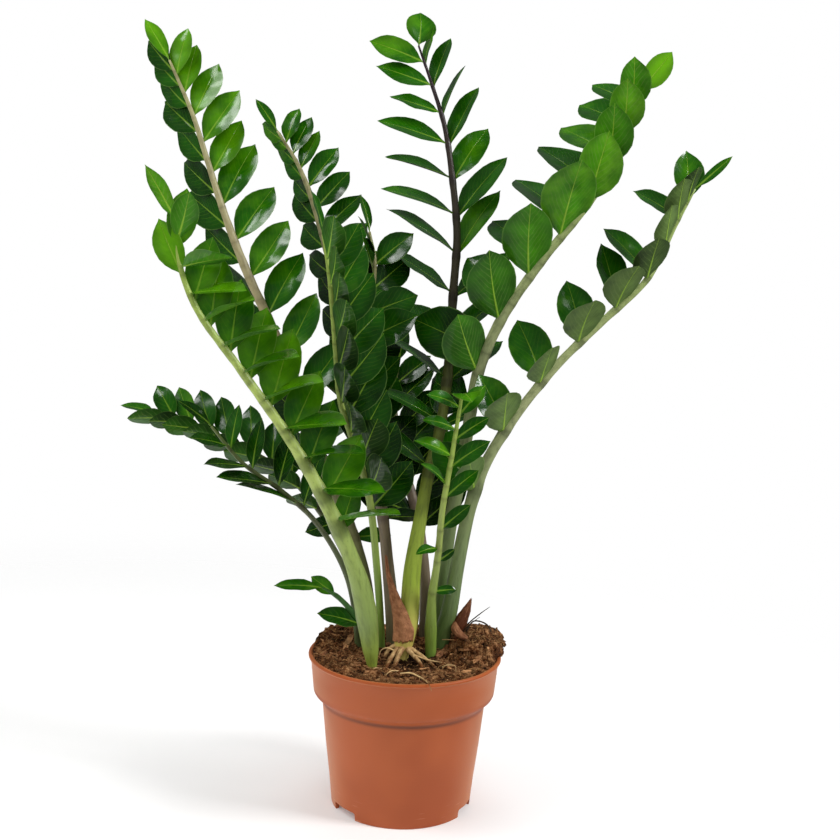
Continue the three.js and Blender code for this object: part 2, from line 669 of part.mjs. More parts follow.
/** A dry, papery husk: a tapering trough of thin wall, or the hole for it. */
function husk({ route, from, to }, margin = 0) {
  const { wall, rows, steps } = HUSK;
  const shoot = new Shoot(route);
  const strip = new THREE.BoxGeometry(1, 1, 1, rows, 1, steps).translate(0.5, 0.5, 0.5);
  return solid(reshape(strip, (p) => {
    const { point, radius } = shoot.at(p.z);
    const sweep = margin / radius;
    const start = radians(lerp(from[0], from[1], p.z)) - sweep;
    const end = radians(lerp(to[0], to[1], p.z)) + sweep;
    const angle = lerp(start, end, p.x);
    const out = radius - margin + (1 - p.y) * (wall + 2 * margin);
    const sunk = p.z > 0 ? 0 : margin;
    p.set(point.x + out * Math.cos(angle), point.y + out * Math.sin(angle), point.z - sunk);
  }));
}

const COLOURS = {
  plastic: new THREE.MeshStandardMaterial({ color: '#b9653f', roughness: 0.5, metalness: 0 }),
  mix: new THREE.MeshStandardMaterial({ color: '#5c3d26', roughness: 0.95, metalness: 0 }),
  leaf: new THREE.MeshStandardMaterial({ color: '#2a6a14', roughness: 0.3, metalness: 0 }),
  husk: new THREE.MeshStandardMaterial({ color: '#8b5a3f', roughness: 0.8, metalness: 0 }),
};

// The roots that hold the middle stem up grow from its foot and are part of it.
const ROOTED = 'stem_centre_tall';
const roots = (margin) => ROOTS.map((route) => new Shoot(route, ROOT_SIDES).body(margin, 4));
const sockets = STEMS.map(({ route }) => new Shoot(route).body(GAP));
const joined = (bodies) => bodies.reduce((whole, body) => whole.add(body));

const plant = new THREE.Group();
plant.add(piece('pot', pot(), COLOURS.plastic));
plant.add(piece('potting_mix', pottingMix([...sockets, ...roots(GAP), husk(HUSKS[1], GAP)]), COLOURS.mix));
growLeaflets(STEMS).forEach((leaflets, i) => {
  const { name, route } = STEMS[i];
  const grown = name === ROOTED ? roots(0) : [];
  const body = joined([new Shoot(route).body(), ...grown, ...leaflets.map((leaflet) => leaflet.body())]);
  plant.add(piece(name, body, COLOURS.leaf));
});
for (const spec of HUSKS) plant.add(piece(spec.name, husk(spec), COLOURS.husk));

export default plant;
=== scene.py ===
"""Looks of the potted ZZ plant: leafy stems, husks, roots, potting mix and pot.

Every size below is in millimetres in the part's own frame (+Z up, -Y towards the
viewer, origin in the middle of the pot's foot), unless it is said to be in metres.
Meshes are scaled to metres when a piece is finished. The leaflets stand by the same
rule and the same seeded draws as in the part's source, so each fine piece keeps the
form of the solid it replaces.
"""

import logging
import math
from dataclasses import dataclass, field
from enum import Enum

import bmesh
import bpy
import numpy as np
from mathutils import Matrix, Vector, noise


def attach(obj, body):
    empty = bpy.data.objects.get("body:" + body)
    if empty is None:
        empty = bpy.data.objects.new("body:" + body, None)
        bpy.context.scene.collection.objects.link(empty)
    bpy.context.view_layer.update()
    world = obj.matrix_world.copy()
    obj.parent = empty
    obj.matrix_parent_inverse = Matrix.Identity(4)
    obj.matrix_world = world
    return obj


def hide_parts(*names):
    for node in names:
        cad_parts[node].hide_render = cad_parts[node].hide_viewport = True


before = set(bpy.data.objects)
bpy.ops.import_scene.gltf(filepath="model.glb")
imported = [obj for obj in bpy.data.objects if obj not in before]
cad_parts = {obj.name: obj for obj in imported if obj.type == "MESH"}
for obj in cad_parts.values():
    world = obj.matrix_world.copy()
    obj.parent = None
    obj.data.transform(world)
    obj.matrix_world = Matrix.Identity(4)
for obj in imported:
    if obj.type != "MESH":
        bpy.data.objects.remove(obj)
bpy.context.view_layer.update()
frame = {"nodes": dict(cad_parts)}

MM = 0.001
# About one full turn, for angles that are drawn.
ROUND = 6.3

Pair = tuple[float, float]
Triple = tuple[float, float, float]
Route = tuple[tuple[float, float, float, float], ...]
Numbers = float | np.ndarray
Object = bpy.types.Object
Material = bpy.types.Material
Socket = bpy.types.NodeSocket
BMesh = bmesh.types.BMesh
BMVert = bmesh.types.BMVert
BMFace = bmesh.types.BMFace
BMPart = BMVert | bmesh.types.BMEdge | BMFace
Layer = bmesh.types.BMLayerItem

log = logging.getLogger("zz_plant")


# ---- numbers


class Draws:
    """A seeded stream of even draws, the same on every run."""

    def __init__(self, seed: int) -> None:
        """Starts the stream at a seed."""
        self.state = seed & 0xFFFFFFFF

    def next(self) -> float:
        """The next draw, from -1 to 1."""
        self.state = (self.state * 1664525 + 1013904223) & 0xFFFFFFFF
        return self.state / 0x100000000 * 2 - 1

    def between(self, low: float, high: float) -> float:
        """The next draw, from low to high."""
        return low + (high - low) * (self.next() + 1) / 2

    def near(self, middle: Pair, spread: Pair) -> Pair:
        """A place in the box that spreads that far to all sides of its middle."""
        return tuple(centre + reach * self.next() for centre, reach in zip(middle, spread))


def lerp(low: float, high: float, share: float) -> float:
    """The number a share of the way from low to high."""
    return low + (high - low) * share


def unit(vector: np.ndarray) -> np.ndarray:
    """The vector at length one."""
    return vector / np.linalg.norm(vector)


def lumps(point: Vector, size: float, octaves: int = 3) -> float:
    """Fractal noise from about -1 to 1.

    Args:
        point: place in millimetres.
        size: width of the largest lumps in millimetres.
        octaves: how many finer layers are added.

    Returns:
        The height of the noise there.
    """
    return noise.fractal(point / size, 1.0, 2.0, octaves)


# ---- finishes


class Shader:
    """Builds one procedural material, node by node."""

    def __init__(self, name: str) -> None:
        """Starts an empty material with one principled surface.

        Args:
            name: the material's name.
        """
        self.material = bpy.data.materials.new(name)
        self.material.use_nodes = True
        self.tree = self.material.node_tree
        self.surface = self.tree.nodes["Principled BSDF"]

    def node(self, kind: str, **settings: object) -> bpy.types.Node:
        """Adds a node of a kind and gives it its settings.

        Args:
            kind: the node's type.
            **settings: its properties.

        Returns:
            The new node.
        """
        node = self.tree.nodes.new(kind)
        for key, value in settings.items():
            setattr(node, key, value)
        return node

    def join(self, source: Socket, target: Socket) -> None:
        """Links one socket to another."""
        self.tree.links.new(source, target)

    def fill(self, socket: Socket, value: object) -> None:
        """Sets a socket to a constant, or links it to another socket.

        Args:
            socket: the input.
            value: a number, a colour, a vector or a socket.
        """
        if isinstance(value, Socket):
            self.join(value, socket)
        else:
            socket.default_value = value

    def place(self) -> Socket:
        """Object coordinates, in metres."""
        return self.node("ShaderNodeTexCoord").outputs["Object"]

    def attribute(self, name: str, output: str = "Vector") -> Socket:
        """A value that is stored on the mesh."""
        return self.node("ShaderNodeAttribute", attribute_name=name).outputs[output]

    def parts(self, vector: Socket) -> tuple[Socket, ...]:
        """The X, Y and Z of a vector.

        Args:
            vector: the vector.

        Returns:
            Three sockets.
        """
        node = self.node("ShaderNodeSeparateXYZ")
        self.join(vector, node.inputs[0])
        return node.outputs["X"], node.outputs["Y"], node.outputs["Z"]

    def stretch(self, vector: Socket, scale: Triple) -> Socket:
        """A vector scaled on each axis.

        Args:
            vector: the vector.
            scale: a factor for each axis.

        Returns:
            The socket that holds the result.
        """
        node = self.node("ShaderNodeMapping")
        self.join(vector, node.inputs["Vector"])
        node.inputs["Scale"].default_value = scale
        return node.outputs["Vector"]

    def math(self, operation: str, *values: object) -> Socket:
        """One step of arithmetic on sockets or numbers.

        Args:
            operation: the node's own name for it.
            *values: sockets or numbers.

        Returns:
            The socket that holds the result.
        """
        node = self.node("ShaderNodeMath", operation=operation)
        for socket, value in zip(node.inputs, values):
            self.fill(socket, value)
        return node.outputs[0]

    def times(self, first: object, second: object) -> Socket:
        """The product of two sockets or numbers."""
        return self.math("MULTIPLY", first, second)

    def plus(self, first: object, second: object) -> Socket:
        """The sum of two sockets or numbers."""
        return self.math("ADD", first, second)

    def minus(self, first: object, second: object) -> Socket:
        """The first socket or number less the second."""
        return self.math("SUBTRACT", first, second)

    def step(
        self, value: object, low: float, high: float, to_low: float = 0.0, to_high: float = 1.0
    ) -> Socket:
        """Maps a range to another one smoothly, and clamps it.

        Args:
            value: what is mapped.
            low: start of its range.
            high: end of its range.
            to_low: result at the start.
            to_high: result at the end.

        Returns:
            The socket that holds the result.
        """
        node = self.node("ShaderNodeMapRange", interpolation_type="SMOOTHSTEP")
        names = ("Value", "From Min", "From Max", "To Min", "To Max")
        for name, part in zip(names, (value, low, high, to_low, to_high)):
            self.fill(node.inputs[name], part)
        return node.outputs["Result"]

    def distance(self, place: Socket, centre: Triple) -> Socket:
        """How far a place is from a fixed one.

        Args:
            place: the place.
            centre: the fixed one.

        Returns:
            The socket that holds the result.
        """
        node = self.node("ShaderNodeVectorMath", operation="DISTANCE")
        self.join(place, node.inputs[0])
        node.inputs[1].default_value = centre
        return node.outputs["Value"]

    def grain(self, vector: Socket, scale: float, detail: float = 4.0, rough: float = 0.55) -> Socket:
        """Fractal noise over a vector, from 0 to 1.

        Args:
            vector: where the noise is read.
            scale: how many lumps fit into one unit.
            detail: how many finer layers are added.
            rough: how strong the finer layers are.

        Returns:
            The socket that holds the result.
        """
        node = self.node("ShaderNodeTexNoise")
        self.join(vector, node.inputs["Vector"])
        node.inputs["Scale"].default_value = scale
        node.inputs["Detail"].default_value = detail
        node.inputs["Roughness"].default_value = rough
        return node.outputs["Fac"]

    def blend(self, share: object, first: object, second: object) -> Socket:
        """Two colours blended by a share.

        Args:
            share: how much of the second one shows.
            first: a colour or a socket.
            second: a colour or a socket.

        Returns:
            The socket that holds the result.
        """
        node = self.node("ShaderNodeMix", data_type="RGBA", blend_type="MIX")
        self.fill(node.inputs["Factor"], share)
        for socket, value in zip((node.inputs[6], node.inputs[7]), (first, second)):
            self.fill(socket, (*value, 1.0) if isinstance(value, tuple) else value)
        return node.outputs[2]

    def ramp(self, share: Socket, *stops: tuple[float, Triple]) -> Socket:
        """A colour ramp with its stops given as place and colour.

        Args:
            share: where the ramp is read.
            *stops: place and colour of each stop.

        Returns:
            The socket that holds the result.
        """
        node = self.node("ShaderNodeValToRGB")
        self.join(share, node.inputs[0])
        elements = node.color_ramp.elements
        while len(elements) < len(stops):
            elements.new(1.0)
        for element, (place, colour) in zip(elements, stops):
            element.position = place
            element.color = (*colour, 1.0)
        return node.outputs["Color"]

    def relief(self, height: Socket, depth: float, under: object = None) -> Socket:
        """A bump of a depth in metres, over another one if it is given.

        Args:
            height: the bump's height.
            depth: its depth in metres.
            under: the other bump.

        Returns:
            The socket that holds the result.
        """
        node = self.node("ShaderNodeBump")
        self.join(height, node.inputs["Height"])
        node.inputs["Distance"].default_value = depth
        if under is not None:
            self.join(under, node.inputs["Normal"])
        return node.outputs["Normal"]

    def dress(self, **sockets: object) -> Material:
        """Sets or links the surface's sockets, by names with _ for a space.

        Args:
            **sockets: a value or a socket for each.

        Returns:
            The finished material.
        """
        for name, value in sockets.items():
            socket = self.surface.inputs[name.replace("_", " ")]
            self.fill(socket, (*value, 1.0) if isinstance(value, tuple) and len(value) == 3 else value)
        return self.material


def tone(code: str) -> Triple:
    """A colour as the shader wants it, from its six-figure screen code."""
    shares = [int(code[i : i + 2], 16) / 255 for i in (0, 2, 4)]
    return tuple(s / 12.92 if s <= 0.04045 else ((s + 0.055) / 1.055) ** 2.4 for s in shares)


@dataclass(frozen=True)
class MouldedPlastic:
    """Satin, terracotta-coloured plastic with faint moulding marks and smears of mix, painted shade in the
    crease under the collar and a painted sheen where it turns away from the eye.

    Heights are in metres over the foot, each from where a mark starts to where it is full.
    """

    light: str = "ac5425"
    dark: str = "9b481e"
    # The colour of the painted sheen where the surface turns away from the eye.
    rim: str = "d48c5c"
    smear: str = "5a3a26"
    scuff: str = "e3a683"
    # The colour of the painted shade in the crease under the collar.
    crease_shade: str = "4a1f0a"
    roughness: float = 0.46
    dusty: Pair = (0.128, 0.168)
    scuffed: Pair = (0.03, 0.012)
    crease_foot: Pair = (0.113, 0.117)
    crease_top: Pair = (0.1215, 0.118)
    step_foot: Pair = (0.112, 0.116)
    step_top: Pair = (0.133, 0.128)

    def material(self) -> Material:
        """Makes the pot's material.

        Returns:
            The new material.
        """
        s = Shader("moulded_plastic")
        place = s.place()
        _, _, height = s.parts(place)
        cloud = s.grain(place, 9, 2)
        colour = s.blend(s.step(cloud, 0.35, 0.7), tone(self.light), tone(self.dark))
        # Mix dust clings to the collar, most of it just under the lip.
        dust = s.step(s.grain(place, 70, 6, 0.7), 0.63, 0.8)
        dust = s.times(s.times(dust, self.band(s, height, self.dusty)), 0.55)
        colour = s.blend(dust, colour, tone(self.smear))
        # Fine hoop lines left by the mould and rubbed lines near the foot.
        hoops = s.grain(s.stretch(place, (1, 1, 55)), 9, 3)
        rubbed = s.step(s.grain(s.stretch(place, (1, 1, 22)), 26, 2), 0.66, 0.74)
        rubbed = s.times(s.times(rubbed, self.band(s, height, self.scuffed)), 0.5)
        colour = s.blend(rubbed, colour, tone(self.scuff))
        # Painted shade darkens the crease under the collar, most where it faces the eye.
        turned = s.node("ShaderNodeLayerWeight")
        turned.inputs["Blend"].default_value = 0.5
        facing = s.step(turned.outputs["Facing"], 0.2, 0.8, 0.7, 0.25)
        crease = s.times(self.band(s, height, self.crease_foot), self.band(s, height, self.crease_top))
        colour = s.blend(s.times(crease, facing), colour, tone(self.crease_shade))
        # Painted sheen: the satin surface is painted paler where it turns away from the eye, but not under
        # the collar.
        under = s.times(self.band(s, height, self.step_foot), self.band(s, height, self.step_top))
        sheen_mask = s.times(s.step(turned.outputs["Facing"], 0.3, 1.0), s.minus(1.0, under))
        colour = s.blend(s.times(sheen_mask, 0.6), colour, tone(self.rim))
        gloss = s.step(cloud, 0.3, 0.75, self.roughness - 0.06, self.roughness + 0.08)
        bumps = s.relief(hoops, 0.00012, s.relief(s.grain(place, 900, 2), 0.00003))
        return s.dress(Base_Color=colour, Roughness=gloss, Normal=bumps, Specular_IOR_Level=0.42)

    @staticmethod
    def band(s: Shader, height: Socket, edge: Pair) -> Socket:
        """Rises from 0 to 1 from the edge's first height to its second, which may be the lower one."""
        start, full = edge
        return s.step(height, start, full) if start < full else s.step(height, full, start, 1.0, 0.0)


@dataclass(frozen=True)
class CoirMix:
    """Damp, brown, fibrous potting mix.

    Attributes:
        dark: its darkest colour.
        middle: its colour between the two.
        light: its lightest colour.
        damp: colour of the painted shade in the hollow between the stems.
        dry: colour of dry crumbs.
        crown: middle of the painted shade, in metres.
        patch: how far from there it starts to fade and is gone, in metres.
    """

    dark: str = "1d0f06"
    middle: str = "704323"
    light: str = "c49364"
    # The colour of the painted shade in the hollow between the stems.
    damp: str = "160b05"
    dry: str = "bd9064"
    crown: Triple = (0.006, -0.024, 0.17)
    patch: Pair = (0.03, 0.05)

    def material(self) -> Material:
        """Makes the material of the mix and its crumbs.

        Returns:
            The new material.
        """
        s = Shader("coir_mix")
        place = s.place()
        coarse = s.grain(place, 95, 5, 0.7)
        fine = s.grain(place, 520, 4, 0.7)
        mixed = s.plus(s.times(coarse, 0.6), s.times(fine, 0.4))
        colour = s.ramp(mixed, (0.42, tone(self.dark)), (0.51, tone(self.middle)), (0.62, tone(self.light)))
        shade = s.attribute("shade", "Fac")
        colour = s.blend(s.times(shade, 0.5), colour, tone(self.dry))
        # Painted shade: the mix is painted dark in the hollow between the feet of the stems, where shade
        # falls.
        span = s.plus(s.distance(place, self.crown), s.times(mixed, 0.02))
        colour = s.blend(s.step(span, *self.patch, 0.85, 0.0), colour, tone(self.damp))
        bumps = s.relief(fine, 0.0016, s.relief(coarse, 0.005))
        return s.dress(Base_Color=colour, Roughness=0.93, Normal=bumps, Specular_IOR_Level=0.2)


@dataclass(frozen=True)
class DryFibre:
    """Loose strands, chips of bark and dry husks: pale to dark brown, with a lengthwise grain.

    Attributes:
        name: the material's name.
        dark: its darkest colour.
        light: its lightest colour.
        streaks: how fine its grain is.
        roughness: how dull it is.
        buried: how much darker its far end is, where it goes into the mix.
    """

    name: str
    dark: str
    light: str
    streaks: float = 1.0
    roughness: float = 0.8
    buried: float = 0.0

    def material(self) -> Material:
        """Makes the material, which follows the piece along its rest attribute.

        Returns:
            The new material.
        """
        s = Shader(self.name)
        rest = s.attribute("rest")
        streak = s.grain(s.stretch(rest, (0.9, 0.12, 0.9)), self.streaks, 5, 0.65)
        blotch = s.grain(rest, 0.16, 3, 0.6)
        share = s.plus(s.times(streak, 0.45), s.times(blotch, 0.55))
        shade = s.attribute("shade", "Fac")
        share = s.plus(share, s.times(s.minus(shade, 0.5), 0.5))
        share = s.minus(share, s.step(s.attribute("grown", "Fac"), 0.4, 1.0, 0.0, self.buried))
        colour = s.ramp(share, (0.3, tone(self.dark)), (0.68, tone(self.light)))
        bumps = s.relief(streak, 0.0006)
        return s.dress(Base_Color=colour, Roughness=self.roughness, Normal=bumps, Specular_IOR_Level=0.3)


@dataclass(frozen=True)
class WaxyLeaf:
    """Glossy green blade: dark and waxy above, duller and ribbed below, with a light margin and painted
    shade towards its edges.

    Attributes:
        dark: upper side of an old leaflet, and the shaded parts of all.
        green: upper side of a leaflet of middle age and shade.
        young: upper side of a young leaflet.
        matte: underside of the oldest, greyish leaflets.
        under_old: underside of an old leaflet.
        under: underside of a leaflet of middle age.
        under_young: underside of a young leaflet.
        under_tip: underside of the youngest leaflets.
        rib: the middle rib, and the side veins above.
        vein: the side veins below.
        margin: the thin edge.
        stalk: the short stalk at the root.
    """

    dark: str = "082503"
    green: str = "205f03"
    young: str = "66aa0a"
    matte: str = "66853a"
    under_old: str = "1f420b"
    under: str = "35710a"
    under_young: str = "4a9606"
    under_tip: str = "6bb018"
    rib: str = "9cc63c"
    vein: str = "8fae5a"
    margin: str = "8fb55a"
    stalk: str = "648b35"

    def material(self) -> Material:
        """Makes the material of every leaflet. It reads the blade's own attributes.

        Returns:
            The new material.
        """
        s = Shader("waxy_leaf")
        across, along, age_and_shade = s.parts(s.attribute("blade"))
        rest = s.attribute("rest")
        side_mm, along_mm, _ = s.parts(rest)
        below = s.attribute("below", "Fac")
        out, out_mm = s.math("ABSOLUTE", across), s.math("ABSOLUTE", side_mm)
        # Colour goes by the leaflet's age and its painted shade, and drifts a little over the blade.
        drift = s.times(s.minus(s.grain(rest, 0.035, 3), 0.5), 0.75)
        drifted = s.plus(age_and_shade, drift)
        above = s.ramp(drifted, (0.0, tone(self.dark)), (0.5, tone(self.green)), (1.0, tone(self.young)))
        under = s.ramp(
            drifted,
            (0.08, tone(self.under_old)),
            (0.45, tone(self.under)),
            (0.8, tone(self.under_young)),
            (1.0, tone(self.under_tip)),
        )
        under = s.blend(s.step(age_and_shade, -0.3, -0.16, 1.0, 0.0), under, tone(self.matte))
        under = s.blend(s.step(s.grain(rest, 0.06, 4, 0.6), 0.35, 0.75, 0.0, 0.35), under, tone(self.dark))
        # The rib is widest at the root. Side veins leave it and bend towards the tip.
        rib = s.step(s.math("DIVIDE", out_mm, s.step(along, 0.0, 0.95, 1.7, 0.35)), 0.3, 1.0, 1.0, 0.0)
        slant = s.plus(s.times(out_mm, 1.05), s.times(s.math("POWER", out_mm, 2.0), 0.025))
        wobble = s.times(s.grain(rest, 0.07, 3), 9.0)
        place = s.times(s.plus(s.minus(along_mm, slant), wobble), 0.86)
        wave = s.plus(s.times(s.math("SINE", place), 0.5), 0.5)
        inner = s.step(out, 0.6, 0.95, 1.0, 0.0)
        vein = s.times(s.step(wave, 0.86, 1.0), s.times(inner, s.grain(rest, 0.11, 2)))
        margin = s.step(out, 0.93, 1.0)
        above = s.blend(s.times(vein, 0.09), above, tone(self.rib))
        above = s.blend(s.times(rib, 0.4), above, tone(self.rib))
        under = s.blend(s.times(vein, 0.4), under, tone(self.vein))
        under = s.blend(s.times(rib, 0.8), under, tone(self.rib))
        colour = s.blend(below, above, under)
        # Painted shade: each half darkens from the rib towards its edge.
        colour = s.blend(s.step(out, 0.15, 0.95, 0.0, 0.32), colour, tone(self.dark))
        colour = s.blend(s.times(margin, 0.32), colour, tone(self.margin))
        stalk = s.step(along, 0.03, 0.13, 0.7, 0.0)
        colour = s.blend(stalk, colour, tone(self.stalk))
        # Waxy shine above, duller below. The rib is sunk above and raised below.
        gloss = s.step(s.grain(rest, 0.04, 1), 0.3, 0.7, 0.15, 0.26)
        rough = s.plus(gloss, s.times(below, 0.68))
        ridges = s.plus(rib, s.times(s.times(wave, inner), 0.05))
        lift = s.times(ridges, s.minus(s.times(below, 2.0), 1.0))
        pucker = s.relief(s.grain(rest, 0.045, 0, 0.0), 0.004)
        bumps = s.relief(lift, 0.0004, pucker)
        return s.dress(
            Base_Color=colour,
            Roughness=rough,
            Normal=bumps,
            Specular_IOR_Level=0.32,
            Coat_Weight=0.35,
            Coat_Roughness=0.08,
        )


@dataclass(frozen=True)
class FleshyShoot:
    """Smooth fleshy stalk, with streaks and dark marks at the joints.

    Attributes:
        name: the material's name.
        foot: colour at its foot.
        lower: colour a fifth of the way up.
        upper: colour a little over half the way up.
        tip: colour at its tip.
        mark: colour of the streaks, flecks and joints.
        streak: how strong the streaks are.
    """

    name: str
    foot: str
    lower: str
    upper: str
    tip: str
    mark: str = "2c3a18"
    streak: float = 0.35

    def material(self) -> Material:
        """Makes the material, which follows the shoot along its attributes.

        Returns:
            The new material.
        """
        s = Shader(self.name)
        rest = s.attribute("rest")
        up = s.attribute("grown", "Fac")
        colour = s.ramp(
            up,
            (0.1, tone(self.foot)),
            (0.2, tone(self.lower)),
            (0.58, tone(self.upper)),
            (0.97, tone(self.tip)),
        )
        streak = s.step(s.grain(s.stretch(rest, (0.22, 0.016, 0.22)), 1.0, 4, 0.6), 0.42, 0.72)
        colour = s.blend(s.times(streak, self.streak), colour, tone(self.mark))
        fleck = s.step(s.grain(s.stretch(rest, (0.5, 0.12, 0.5)), 1.0, 3, 0.6), 0.64, 0.72)
        colour = s.blend(s.times(fleck, 0.3), colour, tone(self.mark))
        joint = s.math("POWER", s.attribute("joint", "Fac"), 4.0)
        colour = s.blend(s.times(joint, 0.5), colour, tone(self.mark))
        bumps = s.relief(s.grain(s.stretch(rest, (0.8, 0.05, 0.8)), 1.0, 3), 0.0005)
        return s.dress(
            Base_Color=colour,
            Roughness=0.42,
            Normal=bumps,
            Specular_IOR_Level=0.45,
            Coat_Weight=0.1,
            Coat_Roughness=0.25,
        )


# ---- pieces


def make_object(bm: BMesh, name: str) -> Object:
    """Turns a mesh into an object in the scene.

    Args:
        bm: the mesh, which is freed.
        name: the name of the object and of its mesh.

    Returns:
        The new object, at the origin.
    """
    mesh = bpy.data.meshes.new(name)
    bm.to_mesh(mesh)
    bm.free()
    made = bpy.data.objects.new(name, mesh)
    bpy.context.scene.collection.objects.link(made)
    return made


def finish_piece(
    bm: BMesh,
    name: str,
    material: Material,
    nodes: tuple[str, ...],
    smooth: bool = True,
) -> Object:
    """Turns a mesh in millimetres into a finished piece of the part.

    Args:
        bm: the mesh, which is freed.
        name: the piece's name.
        material: its finish.
        nodes: the solids that it stands for.
        smooth: whether its faces are shaded as one soft surface.

    Returns:
        The new object, at the origin and on the part's one body.
    """
    bmesh.ops.transform(bm, matrix=Matrix.Scale(MM, 4), verts=bm.verts)
    piece = make_object(bm, name)
    piece.data.materials.append(material)
    for face in piece.data.polygons:
        face.use_smooth = smooth
    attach(piece, "root")
    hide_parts(*nodes)
    log.info("%s: %d faces", name, len(piece.data.polygons))
    return piece


def spin_outline(bm: BMesh, outline: list[Pair], steps: int, merge: float) -> None:
    """Spins an outline round the upright axis.

    Args:
        bm: the mesh it is made in.
        outline: radius and height of each of its points.
        steps: how many faces go round.
        merge: how close two points are when they become one.
    """
    verts = [bm.verts.new((radius, 0, height)) for radius, height in outline]
    edges = [bm.edges.new(pair) for pair in zip(verts, verts[1:])]
    bmesh.ops.spin(
        bm,
        geom=verts + edges,
        axis=(0, 0, 1),
        cent=(0, 0, 0),
        dvec=(0, 0, 0),
        angle=math.tau,
        steps=steps,
        use_merge=True,
    )
    bmesh.ops.remove_doubles(bm, verts=bm.verts, dist=merge)


# ---- shoots


class Line:
    """The smooth line along the middle of a shoot, with its radius anywhere."""

    DIVISIONS = 400
    # Half the stretch over which the line's direction is taken.
    STRIDE = 1e-4

    def __init__(self, route: Route) -> None:
        """Takes the points along the shoot, each with its radius last.

        Args:
            route: the points.
        """
        table = np.array(route, float)
        self.points = table[:, :3]
        self.radii = table[:, 3]
        steps = np.linspace(0, 1, self.DIVISIONS + 1)
        places = np.array([self.place(step) for step in steps])
        lengths = np.linalg.norm(np.diff(places, axis=0), axis=1)
        self.reached = np.concatenate([[0], np.cumsum(lengths)])
        self.steps = steps
        self.length = self.reached[-1]

    def place(self, step: float) -> np.ndarray:
        """A point on the centripetal curve through the route's points.

        Args:
            step: 0 at the first point and 1 at the last.

        Returns:
            The point.
        """
        points = self.points
        last = len(points) - 1
        at = min(max(step, 0.0), 1.0) * last
        i = min(int(at), last - 1)
        weight = at - i
        before = points[i - 1] if i > 0 else 2 * points[0] - points[1]
        after = points[i + 2] if i + 2 <= last else 2 * points[last] - points[last - 1]
        knots = (before, points[i], points[i + 1], after)
        gaps = [np.sum((b - a) ** 2) ** 0.25 for a, b in zip(knots, knots[1:])]
        x0, x1, x2, x3 = knots
        d0, d1, d2 = gaps
        leave = ((x1 - x0) / d0 - (x2 - x0) / (d0 + d1) + (x2 - x1) / d1) * d1
        arrive = ((x2 - x1) / d1 - (x3 - x1) / (d1 + d2) + (x3 - x2) / d2) * d1
        square = -3 * x1 + 3 * x2 - 2 * leave - arrive
        cube = 2 * x1 - 2 * x2 + leave + arrive
        return x1 + leave * weight + square * weight**2 + cube * weight**3

    def at(self, share: float) -> tuple[np.ndarray, np.ndarray, float]:
        """Middle, direction and radius at a share of the line's length.

        Args:
            share: 0 at the foot and 1 at the tip.

        Returns:
            The three of them.
        """
        step = float(np.interp(share * self.length, self.reached, self.steps))
        i = min(int(step * (len(self.radii) - 1)), len(self.radii) - 2)
        radius = lerp(self.radii[i], self.radii[i + 1], step * (len(self.radii) - 1) - i)
        along = unit(self.place(min(step + self.STRIDE, 1)) - self.place(max(step - self.STRIDE, 0)))
        return self.place(step), along, radius


@dataclass
class Tube:
    """A round, tapering body along a line: a shoot, a root or a strand.

    Attributes:
        route: points along its middle, each with its radius last.
        sides: how many faces go round it.
        rings: how many faces go along it.
        joints: places of leaf joints, as shares of its length.
        rough: how far its wall wanders, as a share of its radius.
    """

    # How far a joint's swelling reaches past the radius, in mm, and its height as a share of it.
    JOINT_REACH = 1.5
    JOINT_SWELL = 0.1
    # Width of the lumps in the wall, in mm.
    WALL_LUMPS = 9

    route: Route
    sides: int = 14
    rings: int = 90
    joints: tuple[float, ...] = ()
    rough: float = 0.0

    def add_to(self, bm: BMesh, shade: float = 0.5) -> None:
        """Builds the tube into a mesh that has the rest, grown, joint and shade layers.

        Args:
            bm: the mesh.
            shade: the tube's own shade, from 0 to 1.
        """
        line = Line(self.route)
        tube = bmesh.new()
        layers = piece_layers(tube)
        bmesh.ops.create_cone(
            tube, cap_ends=True, cap_tris=False, segments=self.sides, radius1=1, radius2=1, depth=1
        )
        upright = [e for e in tube.edges if abs(e.verts[0].co.z - e.verts[1].co.z) > 0.5]
        bmesh.ops.subdivide_edges(tube, edges=upright, cuts=self.rings - 1)
        side = np.array([1.0, 0.0, 0.0])
        frames = []
        for ring in range(self.rings + 1):
            share = ring / self.rings
            point, along, radius = line.at(share)
            side = unit(side - along * side.dot(along))
            reach = radius + self.JOINT_REACH
            swell = sum(math.exp(-(((share - joint) * line.length / reach) ** 2)) for joint in self.joints)
            wide = radius * (1 + self.JOINT_SWELL * swell)
            frames.append((point, side, np.cross(along, side), wide, min(swell, 1.0)))
        for vert in tube.verts:
            ring = round((vert.co.z + 0.5) * self.rings)
            point, across, cross, radius, swell = frames[min(max(ring, 0), self.rings)]
            x, y = vert.co.x, vert.co.y
            share = ring / self.rings
            vert[layers["rest"]] = Vector((x * radius, share * line.length, y * radius + point[0]))
            vert[layers["grown"]] = share
            vert[layers["joint"]] = swell
            vert[layers["shade"]] = shade
            spot = Vector((x * 3, y * 3, share * line.length))
            wander = 1 + self.rough * lumps(spot, self.WALL_LUMPS)
            vert.co = Vector(point + (across * x + cross * y) * radius * wander)
        add_part(bm, tube)


def add_part(bm: BMesh, part: BMesh) -> None:
    """Adds one mesh to another, with its layers, and frees it.

    Args:
        bm: the mesh that grows.
        part: the mesh that is added.
    """
    mesh = bpy.data.meshes.new("part")
    part.to_mesh(mesh)
    part.free()
    bm.from_mesh(mesh)
    bpy.data.meshes.remove(mesh)


